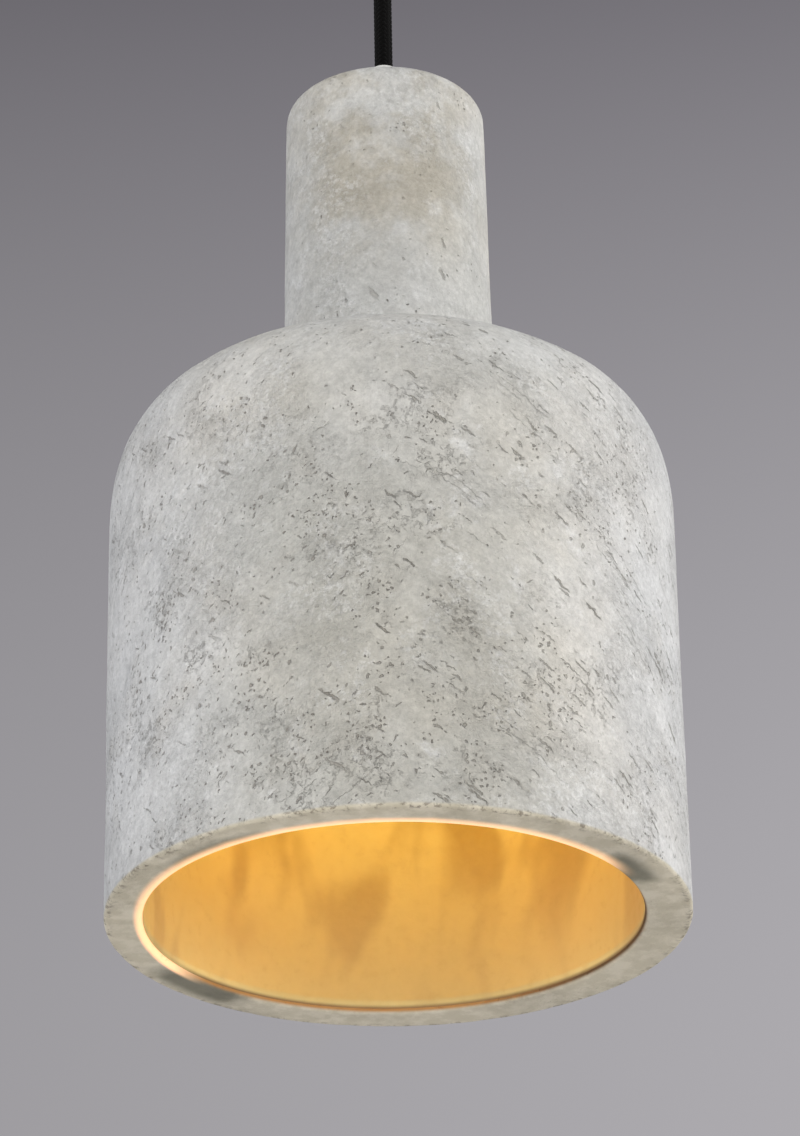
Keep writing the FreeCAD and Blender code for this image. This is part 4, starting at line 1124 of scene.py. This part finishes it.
def textile_material():
    """A rough dark fibre with a faint sheen and fine fibre lines."""
    material, tree, shader = new_material("textile_cord", (0.012, 0.011, 0.011), 0.85, Sheen_Weight=0.03,
                                          Specular_IOR_Level=0.05)
    fibre = noise(tree, object_point(tree), 2600.0, 3.0, 0.7)
    feed(tree, blend_colours(tree, fibre, YARN_BLACK, YARN_GREY), shader["Base Color"])
    bump(tree, shader, fibre, 0.6, 0.08 * MM)
    return material


def bulb_glass_material():
    """Frosted glass, lit from inside."""
    material, tree, shader = new_material("frosted_glass", (0.95, 0.90, 0.80), 0.55)
    height = split_xyz(tree, object_point(tree))[2]
    glow = remap(tree, height, bulb_high[2], bulb_high[2] - 45 * MM, BULB_GLOW_AT_CAP, BULB_GLOW)
    feed(tree, BULB_LIGHT, shader["Emission Color"])
    feed(tree, glow, shader["Emission Strength"])
    return material


finishes["textile_cord"] = textile_material()
finishes["frosted_glass"] = bulb_glass_material()
finishes["cast_concrete"] = concrete
finishes["gold_leaf"] = gold
print("finishes:", len(finishes))

# %% Give every fitting its finish
for name, node in sorted(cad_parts.items()):
    for holder in node.material_slots:
        finish = finishes[holder.material.name.split(".")[0]]
        holder.link = "OBJECT"
        holder.material = finish
cord.data.materials.append(finishes["textile_cord"])
print("fittings finished:", len(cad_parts))

# %% [markdown]
# ## Room, background and light
# A grey studio: the wall behind carries painted light, fading from dusk above to pale mauve below, darker
# again at its foot and a little lighter to the right, behind a plain pale floor. The camera sees that wall,
# while an even, slightly blue sky lights the lamp.

# %% Build the floor
FLOOR_Z = -1.6
FLOOR_HALF = 30
corners = [(x * FLOOR_HALF, y * FLOOR_HALF, FLOOR_Z) for x, y in ((-1, -1), (1, -1), (1, 1), (-1, 1))]
floor = add_mesh("studio_floor", corners, [(0, 1, 2, 3)])
floor_material, _, _ = new_material("pale_floor", (0.60, 0.58, 0.59), 0.85)
floor.data.materials.append(floor_material)
print("floor at", FLOOR_Z)

# %% Paint the background
WALL_LOW = (0.385, 0.374, 0.394, 1)
WALL_HIGH = (0.168, 0.160, 0.178, 1)
WALL_FOOT = (0.223, 0.223, 0.246, 1)
SKY = (0.90, 0.92, 1.0, 1)
SKY_STRENGTH = 0.42
world = bpy.data.worlds.new("studio")
world.use_nodes = True
scene.world = world
tree = world.node_tree
sight_x, _, sight_z = split_xyz(tree, add_node(tree, "ShaderNodeTexCoord").outputs["Generated"])
# painted light on the backdrop: darker upwards and at its foot, lighter to the right
rise = calc(tree, "POWER", remap(tree, sight_z, 0.30, 0.56, smooth=False), 2.0)
wall = blend_colours(tree, rise, WALL_LOW, WALL_HIGH)
wall = blend_colours(tree, remap(tree, sight_z, 0.0, 0.28), WALL_FOOT, wall)
wall = scale_vector(tree, wall, remap(tree, sight_x, -0.10, 0.10, 0.90, 1.10, smooth=False))
background = tree.nodes["Background"]
feed(tree, wall, background.inputs[0])
sky = add_node(tree, "ShaderNodeBackground", SKY, SKY_STRENGTH)
seen = add_node(tree, "ShaderNodeLightPath").outputs["Is Camera Ray"]
choose = add_node(tree, "ShaderNodeMixShader", seen, sky.outputs[0], background.outputs[0])
feed(tree, choose.outputs[0], tree.nodes["World Output"].inputs[0])
scene.view_settings.view_transform = "Standard"
print("background ready")

# %% [markdown]
# Two tall softboxes left and right catch both edges of the casting. One low in front and one high in
# front fill its face, and a reflector on the floor sends light up into the opening.

# %% Hang the softboxes
LAMP_MIDDLE = (0, 0, (RIM + NECK_TOP) / 2)
# each light: name, place, width and height, watts, and colour
LIGHTS = (
    ("softbox_left", (-1.7, 0.1, -0.35), (0.8, 1.6), 12, (0.95, 0.97, 1.0)),
    ("softbox_right", (1.5, 0.25, -0.2), (0.7, 1.4), 17.5, (1.0, 0.99, 0.97)),
    ("softbox_front", (0.25, -2.6, -1.15), (1.6, 1.2), 17.5, (1.0, 0.985, 0.955)),
    ("softbox_high", (0.1, -1.9, 0.7), (1.4, 0.8), 20, (1.0, 1.0, 0.99)),
    ("floor_reflector", (0, -0.7, -1.45), (1.2, 1.2), 7, (1.0, 0.96, 0.88)),
)


def hang_softbox(name, place, size, power, colour):
    """A rectangular light that faces the lamp and that the camera doesn't see."""
    light = bpy.data.lights.new(name, "AREA")
    light.shape = "RECTANGLE"
    light.size, light.size_y = size
    light.energy = power
    light.color = colour
    holder = bpy.data.objects.new(name, light)
    scene.collection.objects.link(holder)
    holder.location = place
    holder.rotation_euler = (Vector(LAMP_MIDDLE) - Vector(place)).to_track_quat("-Z", "Y").to_euler()
    holder.visible_camera = False


for light_facts in LIGHTS:
    hang_softbox(*light_facts)
print("lights:", len(LIGHTS))
